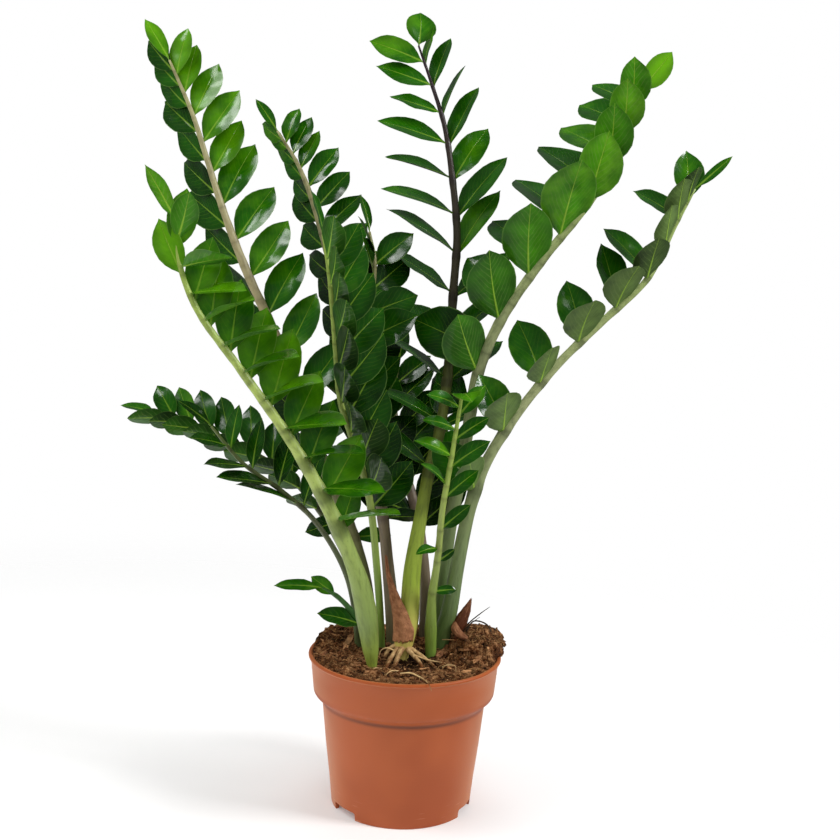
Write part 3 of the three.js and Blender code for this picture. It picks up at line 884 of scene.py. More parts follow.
def piece_layers(bm: BMesh) -> dict[str, Layer]:
    """The values that tubes and loose pieces carry for their materials.

    Args:
        bm: the mesh, which gets any layer that it lacks.

    Returns:
        The layers by name: rest is a vector, and the others are numbers.
    """
    floats, vectors = bm.verts.layers.float, bm.verts.layers.float_vector
    if "rest" not in vectors:
        vectors.new("rest")
        for name in ("grown", "joint", "shade"):
            floats.new(name)
    return {"rest": vectors["rest"], **{name: floats[name] for name in ("grown", "joint", "shade")}}


# ---- leaflets


class Rank(Enum):
    """The two rows of leaflets on a shoot."""

    A = 1
    B = -1


@dataclass(frozen=True)
class Set:
    """How a rank's leaflets are set, in degrees.

    Attributes:
        open: angle to the shoot at the bottom and at the top of the frond.
        fold: how far the rank is raised from the frond's plane.
        turn: roll of a blade about its own rib.
    """

    open: Pair
    fold: float
    turn: float


@dataclass(frozen=True)
class Tip:
    """The last leaflet, which ends the shoot: its size and its own angles."""

    length: float
    width: float
    lean: Triple


@dataclass(frozen=True)
class Rule:
    """Where a shoot's leaflets stand and how large they are.

    Attributes:
        span: where the first and the last of them stand, as shares of the shoot.
        pairs: how many stand in each rank.
        crowd: how much closer they stand towards the tip.
        stagger: how far rank b is ahead of rank a, in steps.
        size: length at the bottom, in the middle and at the top.
        width: width as a share of the length.
        arch: how far a blade curves over, in degrees.
        tip: the last leaflet.
        a: how rank a is set.
        b: how rank b is set.
    """

    span: Pair
    pairs: int
    crowd: float
    stagger: float
    size: Triple
    width: float
    arch: float
    tip: Tip
    a: Set
    b: Set


@dataclass(frozen=True)
class LeafSpec:
    """One leaflet's place on its shoot, its angles and its size."""

    share: float
    rank: Rank
    angles: Triple
    length: float
    width: float
    arch: float
    step: float


class Blade:
    """The outline and the curve that every leaflet's blade has."""

    # Along the blade: place from root to tip, and half width as a share.
    STATIONS = ((0.0, 0.0), (0.08, 0.16), (0.4, 0.92), (0.76, 0.84), (1.0, 0.0))
    # The finer outline that shows: place, half width, half thickness in mm.
    OUTLINE = (
        (0.0, 0.05, 0.9),
        (0.05, 0.06, 0.9),
        (0.1, 0.2, 0.8),
        (0.17, 0.47, 0.7),
        (0.27, 0.76, 0.6),
        (0.39, 0.95, 0.55),
        (0.52, 1.0, 0.5),
        (0.64, 0.96, 0.45),
        (0.75, 0.82, 0.4),
        (0.84, 0.6, 0.35),
        (0.91, 0.35, 0.3),
        (0.96, 0.14, 0.2),
        (1.0, 0.0, 0.1),
    )
    COLUMNS = 4
    CUP = 0.2
    # Up to this share of its length a blade is only its own short stalk.
    STALK = 0.08

    @classmethod
    def half_width(cls, share: np.ndarray) -> np.ndarray:
        """Half the blade's width at a share of its length, as a share of its widest half."""
        places, widths = zip(*cls.STATIONS)
        return np.interp(share, places, widths)

    @classmethod
    def surface(
        cls,
        length: float,
        arch: float,
        share: Numbers,
        across: Numbers,
        lift: Numbers = 0.0,
        cup: float = CUP,
    ) -> tuple[Numbers, Numbers, Numbers]:
        """A place on an arched, cupped blade.

        Args:
            length: the blade's length.
            arch: how far it curves over, in degrees.
            share: place from root to tip.
            across: distance from the rib.
            lift: height over the blade's middle sheet.
            cup: slope of the two halves.

        Returns:
            Distances across, along and up from the root, as three arrays.
        """
        bend = math.radians(arch)
        turned = bend * share
        rise = lift + np.abs(across) * cup
        reach = length * np.sin(turned) / bend + rise * np.sin(turned)
        drop = length * (np.cos(turned) - 1) / bend + rise * np.cos(turned)
        return across, reach, drop


class Leaflet:
    """One leaflet on a shoot."""

    CLEAR = 2.7
    SAMPLES = 12
    SIDES = (-1.0, -0.5, 0.0, 0.5, 1.0)

    def __init__(
        self,
        point: np.ndarray,
        along: np.ndarray,
        upper: np.ndarray,
        rank: Rank,
        angles: Triple,
        size: Triple,
    ) -> None:
        """Sets the leaflet's axes from its angles.

        Args:
            point: its root on the shoot's middle.
            along: the shoot's direction there.
            upper: the way the frond's upper side looks.
            rank: the row it stands in.
            angles: open, fold and turn in degrees.
            size: length, width share and arch.
        """
        opened, fold, turn = np.radians(angles)
        up = unit(upper - along * upper.dot(along))
        out = np.cross(along, up) * rank.value
        sideways = out * math.cos(fold) + up * math.sin(fold)
        flat = up * math.cos(fold) - out * math.sin(fold)
        to_tip = along * math.sin(opened) - sideways * math.cos(opened)
        self.root = point
        self.reach = along * math.cos(opened) + sideways * math.sin(opened)
        self.normal = flat * math.cos(turn) + to_tip * math.sin(turn)
        self.across = np.cross(self.reach, self.normal)
        self.length, width, self.arch = size
        self.half_width = self.length * width / 2
        self.axes = np.array([self.across, self.reach, self.normal])
        self._spread = None

    def spread(self) -> np.ndarray:
        """Points spread over the blade, past the part in its own shoot.

        Returns:
            The points, one to a row.
        """
        if self._spread is None:
            shares = (np.arange(self.SAMPLES) + 1.5) / (self.SAMPLES + 0.5)
            shares, sides = np.meshgrid(shares, self.SIDES, indexing="ij")
            across = sides * Blade.half_width(shares) * self.half_width
            local = np.stack(Blade.surface(self.length, self.arch, shares, across), -1).reshape(-1, 3)
            self._spread = local @ self.axes + self.root
        return self._spread

    def touched_by(self, points: np.ndarray) -> bool:
        """Whether any of the points lies on this blade or too close to it.

        Args:
            points: one to a row.

        Returns:
            True if one of them does.
        """
        across, far, up = ((points - self.root) @ self.axes.T).T
        share = np.clip(far / self.length, 0, 1)
        near = (far >= -self.CLEAR) & (far <= self.length + self.CLEAR)
        near &= np.abs(across) <= Blade.half_width(share) * self.half_width + self.CLEAR
        height = Blade.surface(self.length, self.arch, share, across)[2]
        return bool(np.any(near & (np.abs(up - height) < self.CLEAR)))

    def crosses(self, other: "Leaflet") -> bool:
        """Whether this blade would cross another one.

        Args:
            other: the other leaflet.

        Returns:
            True if it would.
        """
        if np.linalg.norm(self.root - other.root) > self.length + other.length:
            return False
        return other.touched_by(self.spread()) or self.touched_by(other.spread())

    def meets(self, points: np.ndarray, radii: np.ndarray) -> bool:
        """Whether this blade would cross a shoot, given as points with radii.

        Args:
            points: places along the shoot's middle.
            radii: its radius at each.

        Returns:
            True if it would.
        """
        gaps = np.linalg.norm(points - self.root, axis=1)
        close = gaps < self.length + radii + self.CLEAR
        if not close.any():
            return False
        apart = np.linalg.norm(self.spread()[:, None] - points[close][None], axis=2)
        return bool(np.any(apart < radii[close] + self.CLEAR))


@dataclass(frozen=True)
class Look:
    """How a stem's leaflets and stalk look.

    Attributes:
        skin: the stalk's finish.
        tints: age of rank a's and rank b's leaflets, from 0 for old and dark to 1 for young; a low tint also
            paints shade on leaflets that sit in shade.
        top: how much younger the leaflets are at the tip.
    """

    skin: str
    tints: Pair
    top: float = 0.15


@dataclass
class LeafyStem:
    """One shoot with its leaflets: a node of the part.

    Attributes:
        name: the node's name.
        seed: where its stream of draws starts.
        route: points along the shoot's middle, each with its radius last.
        face: the way the frond's upper side faces.
        look: how its stalk and leaflets look.
        leaflets: the rule that its leaflets follow.
        own: degrees added to a leaflet's open, fold and turn, and its own share of the size.
        grown: the leaflets that stand on it, once the clump has grown.
    """

    # How far draws move a leaflet's angles, in degrees, and its length, arch and age with its painted shade,
    # as shares.
    ANGLE_DRAWS = (5, 5, 6)
    LENGTH_DRAW = 0.06
    ARCH_DRAW = 0.4
    AGE_DRAW = 0.16
    # Added to the seed, for the draws that only the fine leaflets use.
    FINE_DRAWS = 500
    # From these a leaflet draws the height of its waves in mm, their number and its cup.
    WAVE_HEIGHTS = (0.3, 1.0)
    WAVE_COUNTS = (1.2, 2.4)
    CUPS = (0.12, 0.3)
    # How far it twists and how far it bends to one side, at most.
    TWIST = 0.22
    SICKLE = 0.06

    name: str
    seed: int
    route: Route
    face: Triple
    look: Look
    leaflets: Rule
    own: dict[str, tuple[float, float, float, float]] = field(default_factory=dict)
    grown: list[tuple[Leaflet, LeafSpec]] = field(default_factory=list)

    def specs(self) -> list[LeafSpec]:
        """Every leaflet by the rule, in the order of its seeded draws.

        Returns:
            The leaflets from the bottom up, and the last one at the tip.
        """
        rule, draws = self.leaflets, Draws(self.seed)
        low, middle, high = rule.size
        specs = []
        for i in range(rule.pairs):
            for rank, hold in ((Rank.A, rule.a), (Rank.B, rule.b)):
                more = self.own.get(f"{rank.name.lower()}{i}", (0, 0, 0, 1))
                step = (i + (rule.stagger if rank is Rank.B else 0)) / rule.pairs
                share = lerp(*rule.span, 1 - (1 - step) ** rule.crowd)
                plain = (lerp(*hold.open, step**2), hold.fold, hold.turn)
                angles = tuple(
                    angle + extra + degrees * draws.next()
                    for angle, extra, degrees in zip(plain, more, self.ANGLE_DRAWS)
                )
                size = lerp(low, middle, step * 2) if step < 0.5 else lerp(middle, high, step * 2 - 1)
                length = size * more[3] * (1 + self.LENGTH_DRAW * draws.next())
                arch = rule.arch * (1 + self.ARCH_DRAW * draws.next())
                if more[3] > 0:
                    specs.append(LeafSpec(share, rank, angles, length, rule.width, arch, step))
        tip = rule.tip
        specs.append(LeafSpec(1.0, Rank.A, tip.lean, tip.length, tip.width, rule.arch, 1.0))
        return specs

    def build_shoot(self, skins: dict[str, Material]) -> Object:
        """Makes the stalk, with a swelling and a mark at each joint.

        Args:
            skins: the stalks' materials by name.

        Returns:
            The finished piece.
        """
        bm = bmesh.new()
        joints = tuple(spec.share for _, spec in self.grown if spec.share < 1)
        piece_layers(bm)
        Tube(self.route, joints=joints, rings=110).add_to(bm)
        name = self.name.replace("stem", "shoot")
        return finish_piece(bm, name, skins[self.look.skin], (self.name,))

    def build_leaflets(self, leaf: Material) -> Object:
        """Makes all of the stem's leaflets as one piece.

        Args:
            leaf: the leaflets' material.

        Returns:
            The finished piece.
        """
        look, draws = self.look, Draws(self.seed + self.FINE_DRAWS)
        bm = bmesh.new()
        blade, rest = (bm.verts.layers.float_vector.new(name) for name in ("blade", "rest"))
        below = bm.faces.layers.float.new("below")
        sheet = self.blank(bm, blade, below)
        for leaflet, spec in self.grown:
            copied = bmesh.ops.duplicate(bm, geom=sheet)["geom"]
            # A stem's tints set its leaflets' age, and also paint shade on leaflets that sit in shade.
            tint = max(look.tints) if spec.share == 1 else look.tints[0 if spec.rank is Rank.A else 1]
            age_and_shade = tint + look.top * spec.step + self.AGE_DRAW * draws.next()
            verts = [part for part in copied if isinstance(part, BMVert)]
            self.shape(leaflet, verts, (blade, rest), age_and_shade, draws)
        bmesh.ops.delete(bm, geom=[g for g in sheet if isinstance(g, BMVert)], context="VERTS")
        return finish_piece(bm, self.name.replace("stem", "leaflets"), leaf, (self.name,))

    def blank(self, bm: BMesh, blade: Layer, below: Layer) -> list[BMPart]:
        """Makes one closed blade of unit size, to be copied for every leaflet.

        Args:
            bm: the mesh it is made in.
            blade: layer for the place on the blade and its side.
            below: layer that is 1 on the faces of the underside.

        Returns:
            All of its vertices, edges and faces.
        """
        rows = len(Blade.OUTLINE) - 1
        bmesh.ops.create_grid(bm, x_segments=Blade.COLUMNS, y_segments=rows, size=0.5)
        for vert in bm.verts:
            row = round((vert.co.y + 0.5) * rows)
            place, wide, _ = Blade.OUTLINE[row]
            side = vert.co.x * 2
            vert[blade] = Vector((side, place, 1.0))
            vert.co = Vector((side * wide, place, 0))
        twin = bmesh.ops.duplicate(bm, geom=bm.verts[:] + bm.edges[:] + bm.faces[:])["geom"]
        under = [g for g in twin if isinstance(g, BMFace)]
        bmesh.ops.reverse_faces(bm, faces=under)
        for face in under:
            face[below] = 1.0
        for vert in (g for g in twin if isinstance(g, BMVert)):
            vert[blade] = Vector((vert[blade].x, vert[blade].y, -1.0))
        rim = [v for v in bm.verts if v.is_boundary]
        for vert in rim:
            vert[blade] = Vector((vert[blade].x, vert[blade].y, 0.0))
        bmesh.ops.remove_doubles(bm, verts=rim, dist=1e-5)
        for edge in bm.edges:
            edge.smooth = not (abs(edge.verts[0][blade].z) < 0.5 and abs(edge.verts[1][blade].z) < 0.5)
        return bm.verts[:] + bm.edges[:] + bm.faces[:]

    def shape(
        self, leaflet: Leaflet, verts: list[BMVert], layers: tuple[Layer, Layer], age_and_shade: float, draws: Draws
    ) -> None:
        """Bends a copied blade to its leaflet's size, place and own small waves.

        Args:
            leaflet: where the blade goes and how large it is.
            verts: the copy's vertices.
            layers: the blade layer and the rest layer.
            age_and_shade: the leaflet's age and its painted shade, for its colour.
            draws: the stem's stream of draws for shapes.
        """
        blade, rest = layers
        spans = (self.WAVE_HEIGHTS, self.WAVE_COUNTS, (0, ROUND), self.CUPS)
        wave, waves, phase, cup = [draws.between(*span) for span in spans]
        twist, sickle = self.TWIST * draws.next(), self.SICKLE * draws.next()
        places, widths, thicks = zip(*Blade.OUTLINE)
        for vert in verts:
            side, place, face = vert[blade]
            wide = np.interp(place, places, widths)
            thick = np.interp(place, places, thicks)
            across = side * thick if place < Blade.STALK else side * wide * leaflet.half_width
            # It is thinner towards its edges, and waves there, but not on its first quarter.
            lift = face * thick * (1 - side * side * 0.75)
            lift += wave * side * side * math.sin(place * waves * ROUND + phase + side) * min(place * 4, 1)
            lift += across * twist * place
            aside, ahead, up = Blade.surface(leaflet.length, leaflet.arch, place, across, lift, cup)
            shift = sickle * leaflet.half_width * math.sin(place * math.pi)
            at = leaflet.root + leaflet.across * (aside + shift)
            at = at + leaflet.reach * ahead + leaflet.normal * up
            vert[rest] = Vector((across, place * leaflet.length, leaflet.root[2]))
            vert[blade] = Vector((side, place, age_and_shade))
            vert.co = Vector(at)


class Clump:
    """All of the stems. Each leaflet is bent clear of the other stems and theirs."""

    # Bends to try, as degrees more open and more folded, and then sizes to try.
    BENDS = (
        (0, 0), (0, 12), (0, -12), (-12, 0), (12, 0), (0, 24), (0, -24), (-16, 14), (-16, -14), (24, 0),
        (0, 38), (0, -38),
    )  # fmt: skip
    SIZES = (1.0, 0.85, 0.7, 0.55)
    STEPS = 60

    def __init__(self, stems: list[LeafyStem]) -> None:
        """Takes the stems in the order in which they claim their room.

        Args:
            stems: the stems.
        """
        self.stems = stems
        self.lines = [Line(stem.route) for stem in stems]
        self.paths = []
        for line in self.lines:
            places = [line.at(i / self.STEPS) for i in range(self.STEPS + 1)]
            self.paths.append((np.array([p for p, _, _ in places]), np.array([r for _, _, r in places])))

    def is_free(self, index: int, leaflet: Leaflet) -> bool:
        """Whether a stem's leaflet is clear of every other stem and its leaflets.

        Args:
            index: which stem it stands on.
            leaflet: the leaflet.

        Returns:
            True if nothing is in its way.
        """
        others = [i for i in range(len(self.stems)) if i != index]
        if any(leaflet.meets(*self.paths[i]) for i in others):
            return False
        return not any(leaflet.crosses(rival) for i in others for rival, _ in self.stems[i].grown)

    def grow(self) -> None:
        """Places every leaflet, taking the first bend and size that is free."""
        for index, stem in enumerate(self.stems):
            upper = np.array(stem.face, float)
            for spec in stem.specs():
                point, along, _ = self.lines[index].at(spec.share)
                choices = ((size, bend) for size in self.SIZES for bend in self.BENDS)
                for size, (opened, fold) in choices:
                    angles = (spec.angles[0] + opened, spec.angles[1] + fold, spec.angles[2])
                    shape = (spec.length * size, spec.width, spec.arch)
                    leaflet = Leaflet(point, along, upper, spec.rank, angles, shape)
                    if self.is_free(index, leaflet):
                        stem.grown.append((leaflet, spec))
                        break
            log.info("%s: %d leaflets", stem.name, len(stem.grown))


# ---- the plant

# The stems, in the order in which they claim their room.
STEMS = [
    LeafyStem(
        name="stem_front_left",
        seed=11,
        route=(
            (-33, -50, 104, 3.4), (-34, -51, 164, 4.4), (-36, -54, 188, 8.8), (-41, -60, 225, 11.6),
            (-48, -64, 258, 10.4), (-57, -67, 285, 8.6), (-74, -72, 325, 7.8), (-98, -78, 372, 6.4),
            (-128, -83, 421, 5), (-172, -89, 482, 3.9), (-214, -96, 540, 3), (-230, -101, 584, 2.4),
            (-233, -104, 624, 1.4),
        ),
        face=(1, -0.3, 0.5),
        look=Look("olive_stalk", (0.62, 0.62), 0.14),
        leaflets=Rule(
            span=(0.38, 0.985), pairs=11, crowd=1.2, stagger=0.35, size=(78, 82, 54), width=0.5, arch=14,
            tip=Tip(60, 0.3, (24, -90, 0)),
            a=Set((52, 34), 66, 20),
            b=Set((98, 88), 72, 84),
        ),
        own={
            "a0": (-10, 0, 0, 0.7), "b0": (-14, 0, -16, 1.2), "a9": (-50, 0, 0, 0.95), "b9": (-6, 0, -34, 1),
            "b10": (-64, 0, -50, 0.95), "a10": (-26, 0, 0, 1),
        },
    ),
    LeafyStem(
        name="stem_front_right",
        seed=19,
        route=(
            (38, 12, 104, 6.5), (38, 12, 168, 8.6), (41, 10, 188, 9.6), (46, 4, 210, 9.4),
            (53, -3, 262, 7.8), (59, -8, 304, 7.3), (65, -11, 336, 7), (79, -14, 382, 6),
            (112, -17, 440, 5), (152, -20, 493, 4.4), (195, -23, 538, 3.8), (238, -26, 583, 3),
            (264, -28, 641, 2.2), (280, -30, 675, 1.2),
        ),
        face=(-0.75, 0, 0.65),
        look=Look("green_stalk", (-0.44, 0.5), 0.12),
        leaflets=Rule(
            span=(0.39, 0.99), pairs=9, crowd=1.7, stagger=0.1, size=(68, 70, 46), width=0.62, arch=10,
            tip=Tip(50, 0.2, (22, -90, 0)),
            a=Set((52, 50), 30, 14),
            b=Set((60, 84), 76, 18),
        ),
        own={
            "b4": (0, 0, 30, 0.95), "b5": (6, 0, 46, 1), "b6": (0, 0, 0, 0), "b7": (4, 0, 34, 1.05),
            "b8": (-50, 0, 0, 1),
        },
    ),
    LeafyStem(
        name="stem_right_tall",
        seed=18,
        route=(
            (38, 38, 104, 5.5), (38, 38, 168, 7.8), (39, 35, 225, 8), (41, 28, 262, 7.8),
            (45, 20, 308, 7.6), (52, 13, 354, 7.2), (60, 8, 415, 6.6), (68, 4, 475, 6), (90, -2, 534, 5.4),
            (128, -8, 595, 4.6), (182, -14, 669, 3.6), (204, -18, 720, 2.6), (219, -22, 770, 1.3),
        ),
        face=(-0.75, -0.15, 0.6),
        look=Look("green_stalk", (0.5, 0.18), 0.44),
        leaflets=Rule(
            span=(0.44, 0.99), pairs=9, crowd=1.5, stagger=0.4, size=(86, 90, 50), width=0.62, arch=8,
            tip=Tip(52, 0.5, (22, -90, 0)),
            a=Set((38, 34), 62, 14),
            b=Set((84, 70), 42, 22),
        ),
        own={
            "a0": (0, 0, 0, 0), "a5": (-12, 0, 36, 0.92), "a6": (-14, 0, 42, 0.92), "a7": (-16, 0, 42, 0.92),
            "a8": (-16, 0, 42, 0.92), "b3": (6, 0, 26, 1.08), "b4": (8, 0, 30, 1.12), "b5": (8, 0, 30, 1.14),
            "b6": (8, 0, 30, 1.16), "b7": (8, 0, 30, 1.16), "b8": (4, 0, 30, 1.1),
        },
    ),
    LeafyStem(
        name="stem_centre_tall",
        seed=16,
        route=(
            (-2, -18, 104, 5), (-2, -18, 170, 6), (-2, -18, 182, 10.5), (3, -16, 210, 11),
            (5, -12, 262, 9.6), (12, -4, 319, 7.2), (20, 6, 370, 6.4), (30, 16, 412, 5.8),
            (37, 28, 477, 5.4), (40, 40, 560, 4.6), (42, 48, 622, 4.1), (35, 56, 683, 3.5),
            (25, 64, 738, 2.7), (10, 70, 782, 1.9), (-6, 76, 824, 1.1),
        ),
        face=(0.3, -0.9, 0),
        look=Look("purple_stalk", (0.36, 0.3), 0.26),
        leaflets=Rule(
            span=(0.36, 0.995), pairs=12, crowd=1.3, stagger=0.12, size=(82, 88, 58), width=0.44, arch=12,
            tip=Tip(40, 0.86, (24, 0, 0)),
            a=Set((40, 28), 5, 62),
            b=Set((62, 58), 0, 54),
        ),
        own={
            "a7": (0, 0, -32, 0.9), "a9": (0, 0, 14, 0.9), "a10": (0, 0, 8, 0.9), "a11": (-4, 0, 14, 0.8),
            "b8": (0, 0, -14, 1), "b9": (0, 0, -22, 0.85), "b10": (-4, 0, -40, 0.95),
            "b11": (-8, 0, -48, 1.05),
        },
    ),
    LeafyStem(
        name="stem_front_small",
        seed=20,
        route=(
            (28, -12, 104, 5), (28, -12, 168, 6), (27, -16, 200, 6.8), (27, -27, 238, 4.6),
            (31, -44, 284, 3.6), (34, -60, 341, 3.2), (41, -68, 396, 2.6), (49, -76, 462, 1.6),
        ),
        face=(0.2, -0.8, 0.5),
        look=Look("lime_stalk", (0.26, 0.42), 0.2),
        leaflets=Rule(
            span=(0.39, 0.985), pairs=7, crowd=1.3, stagger=0.4, size=(30, 50, 40), width=0.4, arch=34,
            tip=Tip(38, 0.75, (70, 90, 80)),
            a=Set((40, 26), 25, 18),
            b=Set((62, 58), 25, 50),
        ),
        own={
            "a0": (30, 0, 30, 0.9), "b0": (0, 0, 0, 0), "a1": (0, 0, 0, 0.62), "b1": (4, 0, 24, 0.85),
            "b2": (0, 0, 0, 0), "b3": (-16, 0, 0, 0.8),
        },
    ),
    LeafyStem(
        name="stem_back_left_tall",
        seed=12,
        route=(
            (-38, 22, 104, 5), (-38, 22, 166, 8), (-48, 26, 240, 8.5), (-66, 30, 298, 7.5),
            (-98, 36, 372, 6.4), (-127, 42, 451, 5.8), (-156, 48, 514, 5.2), (-187, 54, 577, 4.6),
            (-214, 60, 642, 3.7), (-235, 66, 702, 2.9), (-250, 70, 744, 2.3), (-276, 75, 800, 1.3),
        ),
        face=(0.5, -0.8, 0.2),
        look=Look("beige_stalk", (0.46, 0.06), 0.3),
        leaflets=Rule(
            span=(0.25, 0.99), pairs=14, crowd=1.45, stagger=0.4, size=(78, 82, 54), width=0.48, arch=10,
            tip=Tip(52, 0.36, (-6, 0, 0)),
            a=Set((54, 34), 20, 24),
            b=Set((46, 28), -78, 12),
        ),
        own={"a0": (52, 0, 20, 0.6), "b0": (40, 50, 0, 0.6)},
    ),
    LeafyStem(
        name="stem_centre_left",
        seed=14,
        route=(
            (-26, 6, 104, 3.2), (-26, 6, 168, 4.2), (-33, -8, 262, 4), (-44, -28, 350, 3.8),
            (-60, -42, 405, 3.6), (-74, -52, 450, 3.4), (-79, -60, 500, 3.2), (-84, -68, 552, 2.8),
            (-88, -72, 584, 2.2), (-94, -75, 616, 1.2),
        ),
        face=(1, -0.25, 0.2),
        look=Look("lime_stalk", (0.08, 0.0), 0.3),
        leaflets=Rule(
            span=(0.44, 0.97), pairs=9, crowd=1.15, stagger=0.5, size=(70, 74, 56), width=0.54, arch=12,
            tip=Tip(46, 0.5, (0, 0, 0)),
            a=Set((50, 36), 60, 16),
            b=Set((44, 36), 40, 10),
        ),
    ),
    LeafyStem(
        name="stem_low_left",
        seed=22,
        route=(
            (-51, 8, 104, 3.5), (-51, 8, 168, 4.2), (-66, 6, 250, 3.2), (-102, 2, 311, 2.8),
            (-138, 0, 343, 2.5), (-180, -4, 373, 2.1), (-213, -8, 412, 1.4),
        ),
        face=(0.4, -0.5, 0.9),
        look=Look("dusky_stalk", (0.2, 0.2), 0.12),
        leaflets=Rule(
            span=(0.64, 0.985), pairs=4, crowd=1.1, stagger=0.2, size=(78, 58, 44), width=0.4, arch=14,
            tip=Tip(44, 0.4, (-10, 0, 0)),
            a=Set((66, 36), 35, 50),
            b=Set((30, 46), 10, 20),
        ),
    ),
    LeafyStem(
        name="stem_lowest_left",
        seed=23,
        route=(
            (-37, -10, 104, 3), (-37, -10, 168, 3.8), (-43, -11, 194, 3.6), (-60, -6, 215, 3.2),
            (-76, 2, 228, 2.6), (-92, 8, 235, 1.4),
        ),
        face=(0, -0.5, 1),
        look=Look("dark_stalk", (0.34, 0.2), 0.24),
        leaflets=Rule(
            span=(0.5, 0.97), pairs=2, crowd=2.6, stagger=0.2, size=(54, 54, 50), width=0.46, arch=14,
            tip=Tip(54, 0.32, (-30, 0, 0)),
            a=Set((28, 14), 30, 10),
            b=Set((34, 46), -10, 24),
        ),
        own={"a0": (0, 0, 0, 0), "a1": (-20, 0, 0, 0.66), "b1": (0, 0, 0, 0)},
    ),
    LeafyStem(
        name="stem_low_left_back",
        seed=21,
        route=(
            (-32, 42, 104, 3.5), (-32, 42, 168, 4.6), (-66, 58, 250, 4.2), (-100, 68, 306, 3.6),
            (-136, 76, 343, 3.2), (-190, 82, 376, 2.6), (-238, 87, 395, 2.1), (-292, 92, 410, 1.3),
        ),
        face=(0.4, -0.5, 0.9),
        look=Look("dusky_stalk", (0.3, 0.14), 0.2),
        leaflets=Rule(
            span=(0.48, 0.985), pairs=9, crowd=1.2, stagger=0.4, size=(58, 58, 48), width=0.48, arch=12,
            tip=Tip(44, 0.46, (0, 0, 0)),
            a=Set((60, 34), 35, 14),
            b=Set((52, 36), 20, 78),
        ),
    ),
    LeafyStem(
        name="stem_centre_dark",
        seed=15,
        route=(
            (-14, 18, 104, 5), (-14, 18, 168, 7), (-22, 16, 262, 6.5), (-31, 14, 328, 6),
            (-48, 12, 404, 5.4), (-60, 12, 442, 5), (-60, 14, 498, 4.4), (-48, 18, 560, 3.6),
            (-46, 21, 592, 2.6), (-52, 24, 622, 1.4),
        ),
        face=(0.8, -0.5, 0.1),
        look=Look("pinkish_stalk", (0.06, 0.02), 0.2),
        leaflets=Rule(
            span=(0.4, 0.97), pairs=10, crowd=1.15, stagger=0.5, size=(66, 72, 50), width=0.58, arch=12,
            tip=Tip(42, 0.44, (0, 0, 0)),
            a=Set((56, 40), 50, 16),
            b=Set((50, 40), 20, 12),
        ),
        own={"a0": (40, 0, 60, 0.8), "b0": (0, 40, 20, 0.55)},
    ),
    LeafyStem(
        name="stem_back_left_short",
        seed=13,
        route=(
            (-10, 42, 104, 4), (-10, 42, 168, 6), (-16, 50, 215, 6), (-30, 66, 302, 5.4),
            (-52, 88, 401, 4.8), (-76, 112, 501, 4.4), (-102, 132, 590, 3.8), (-128, 150, 668, 3),
            (-146, 158, 705, 2), (-168, 165, 737, 1.2),
        ),
        face=(0.35, -0.9, 0.1),
        look=Look("beige_stalk", (0.06, 0.0), 0.5),
        leaflets=Rule(
            span=(0.4, 0.985), pairs=13, crowd=1.5, stagger=0.45, size=(68, 66, 46), width=0.48, arch=10,
            tip=Tip(48, 0.28, (0, 0, 0)),
            a=Set((60, 42), 15, 22),
            b=Set((46, 28), -78, 12),
        ),
    ),
    LeafyStem(
        name="stem_back_centre",
        seed=17,
        route=(
            (21, 46, 104, 4.5), (21, 46, 168, 6.4), (20, 52, 236, 6.4), (8, 63, 310, 5.8),
            (-8, 72, 360, 5), (-18, 80, 402, 4.2), (-22, 88, 444, 3), (-18, 94, 478, 1.8),
        ),
        face=(0, -1, 0.1),
        look=Look("pinkish_stalk", (0.0, 0.0), 0.1),
        leaflets=Rule(
            span=(0.5, 0.985), pairs=7, crowd=1.1, stagger=0.5, size=(76, 74, 50), width=0.52, arch=12,
            tip=Tip(44, 0.4, (0, 0, 0)),
            a=Set((60, 40), 20, 20),
            b=Set((60, 40), 20, 20),
        ),
    ),
]  # fmt: skip

# The finish of each kind of stalk, from its foot to its tip.
SKINS = (
    FleshyShoot("olive_stalk", "94a83e", "7c9149", "bacd6c", "a3bd58", mark="333f1a"),
    FleshyShoot("beige_stalk", "66753f", "7c7f52", "a79a74", "aaa676", mark="50452c"),
    FleshyShoot("green_stalk", "59713a", "667d48", "a5ad7a", "a3ba66", mark="28361a"),
    FleshyShoot("purple_stalk", "d2c066", "98ae3a", "4a4530", "33262c", mark="241b1e"),
    FleshyShoot("dark_stalk", "24401c", "29501c", "2f5a22", "3c6a2a", mark="16260c"),
    FleshyShoot("dusky_stalk", "59713a", "56653c", "5c6242", "6c7a44", mark="2c2a1a"),
    FleshyShoot("pinkish_stalk", "6a6a48", "766a50", "80705c", "868650", mark="403230"),
    FleshyShoot("lime_stalk", "5f7a34", "76953a", "9dae58", "a2bc55", mark="4a4a20"),
)

# Bare roots under the middle stem: points along each, with its radius last.
ROOTS = (
    ((-4, -20, 182, 4), (-12, -32, 176, 2.4), (-18, -43, 169, 2.1), (-21, -50, 158, 1.4)),
    ((-2, -22, 182, 4), (-6, -35, 177, 2.6), (-10, -44, 169, 2.2), (-13, -50, 158, 1.4)),
    ((0, -20, 182, 4), (8, -33, 177, 2.2), (16, -42, 171, 1.9), (23, -50, 158, 1.3)),
    ((0, -18, 181, 4), (13, -27, 177, 2), (24, -36, 172, 1.7), (38, -38, 160, 1.2)),
    ((-2, -18, 182, 4), (-14, -20, 180, 2.2), (-20, -22, 173, 1.9), (-23, -26, 158, 1.3)),
)

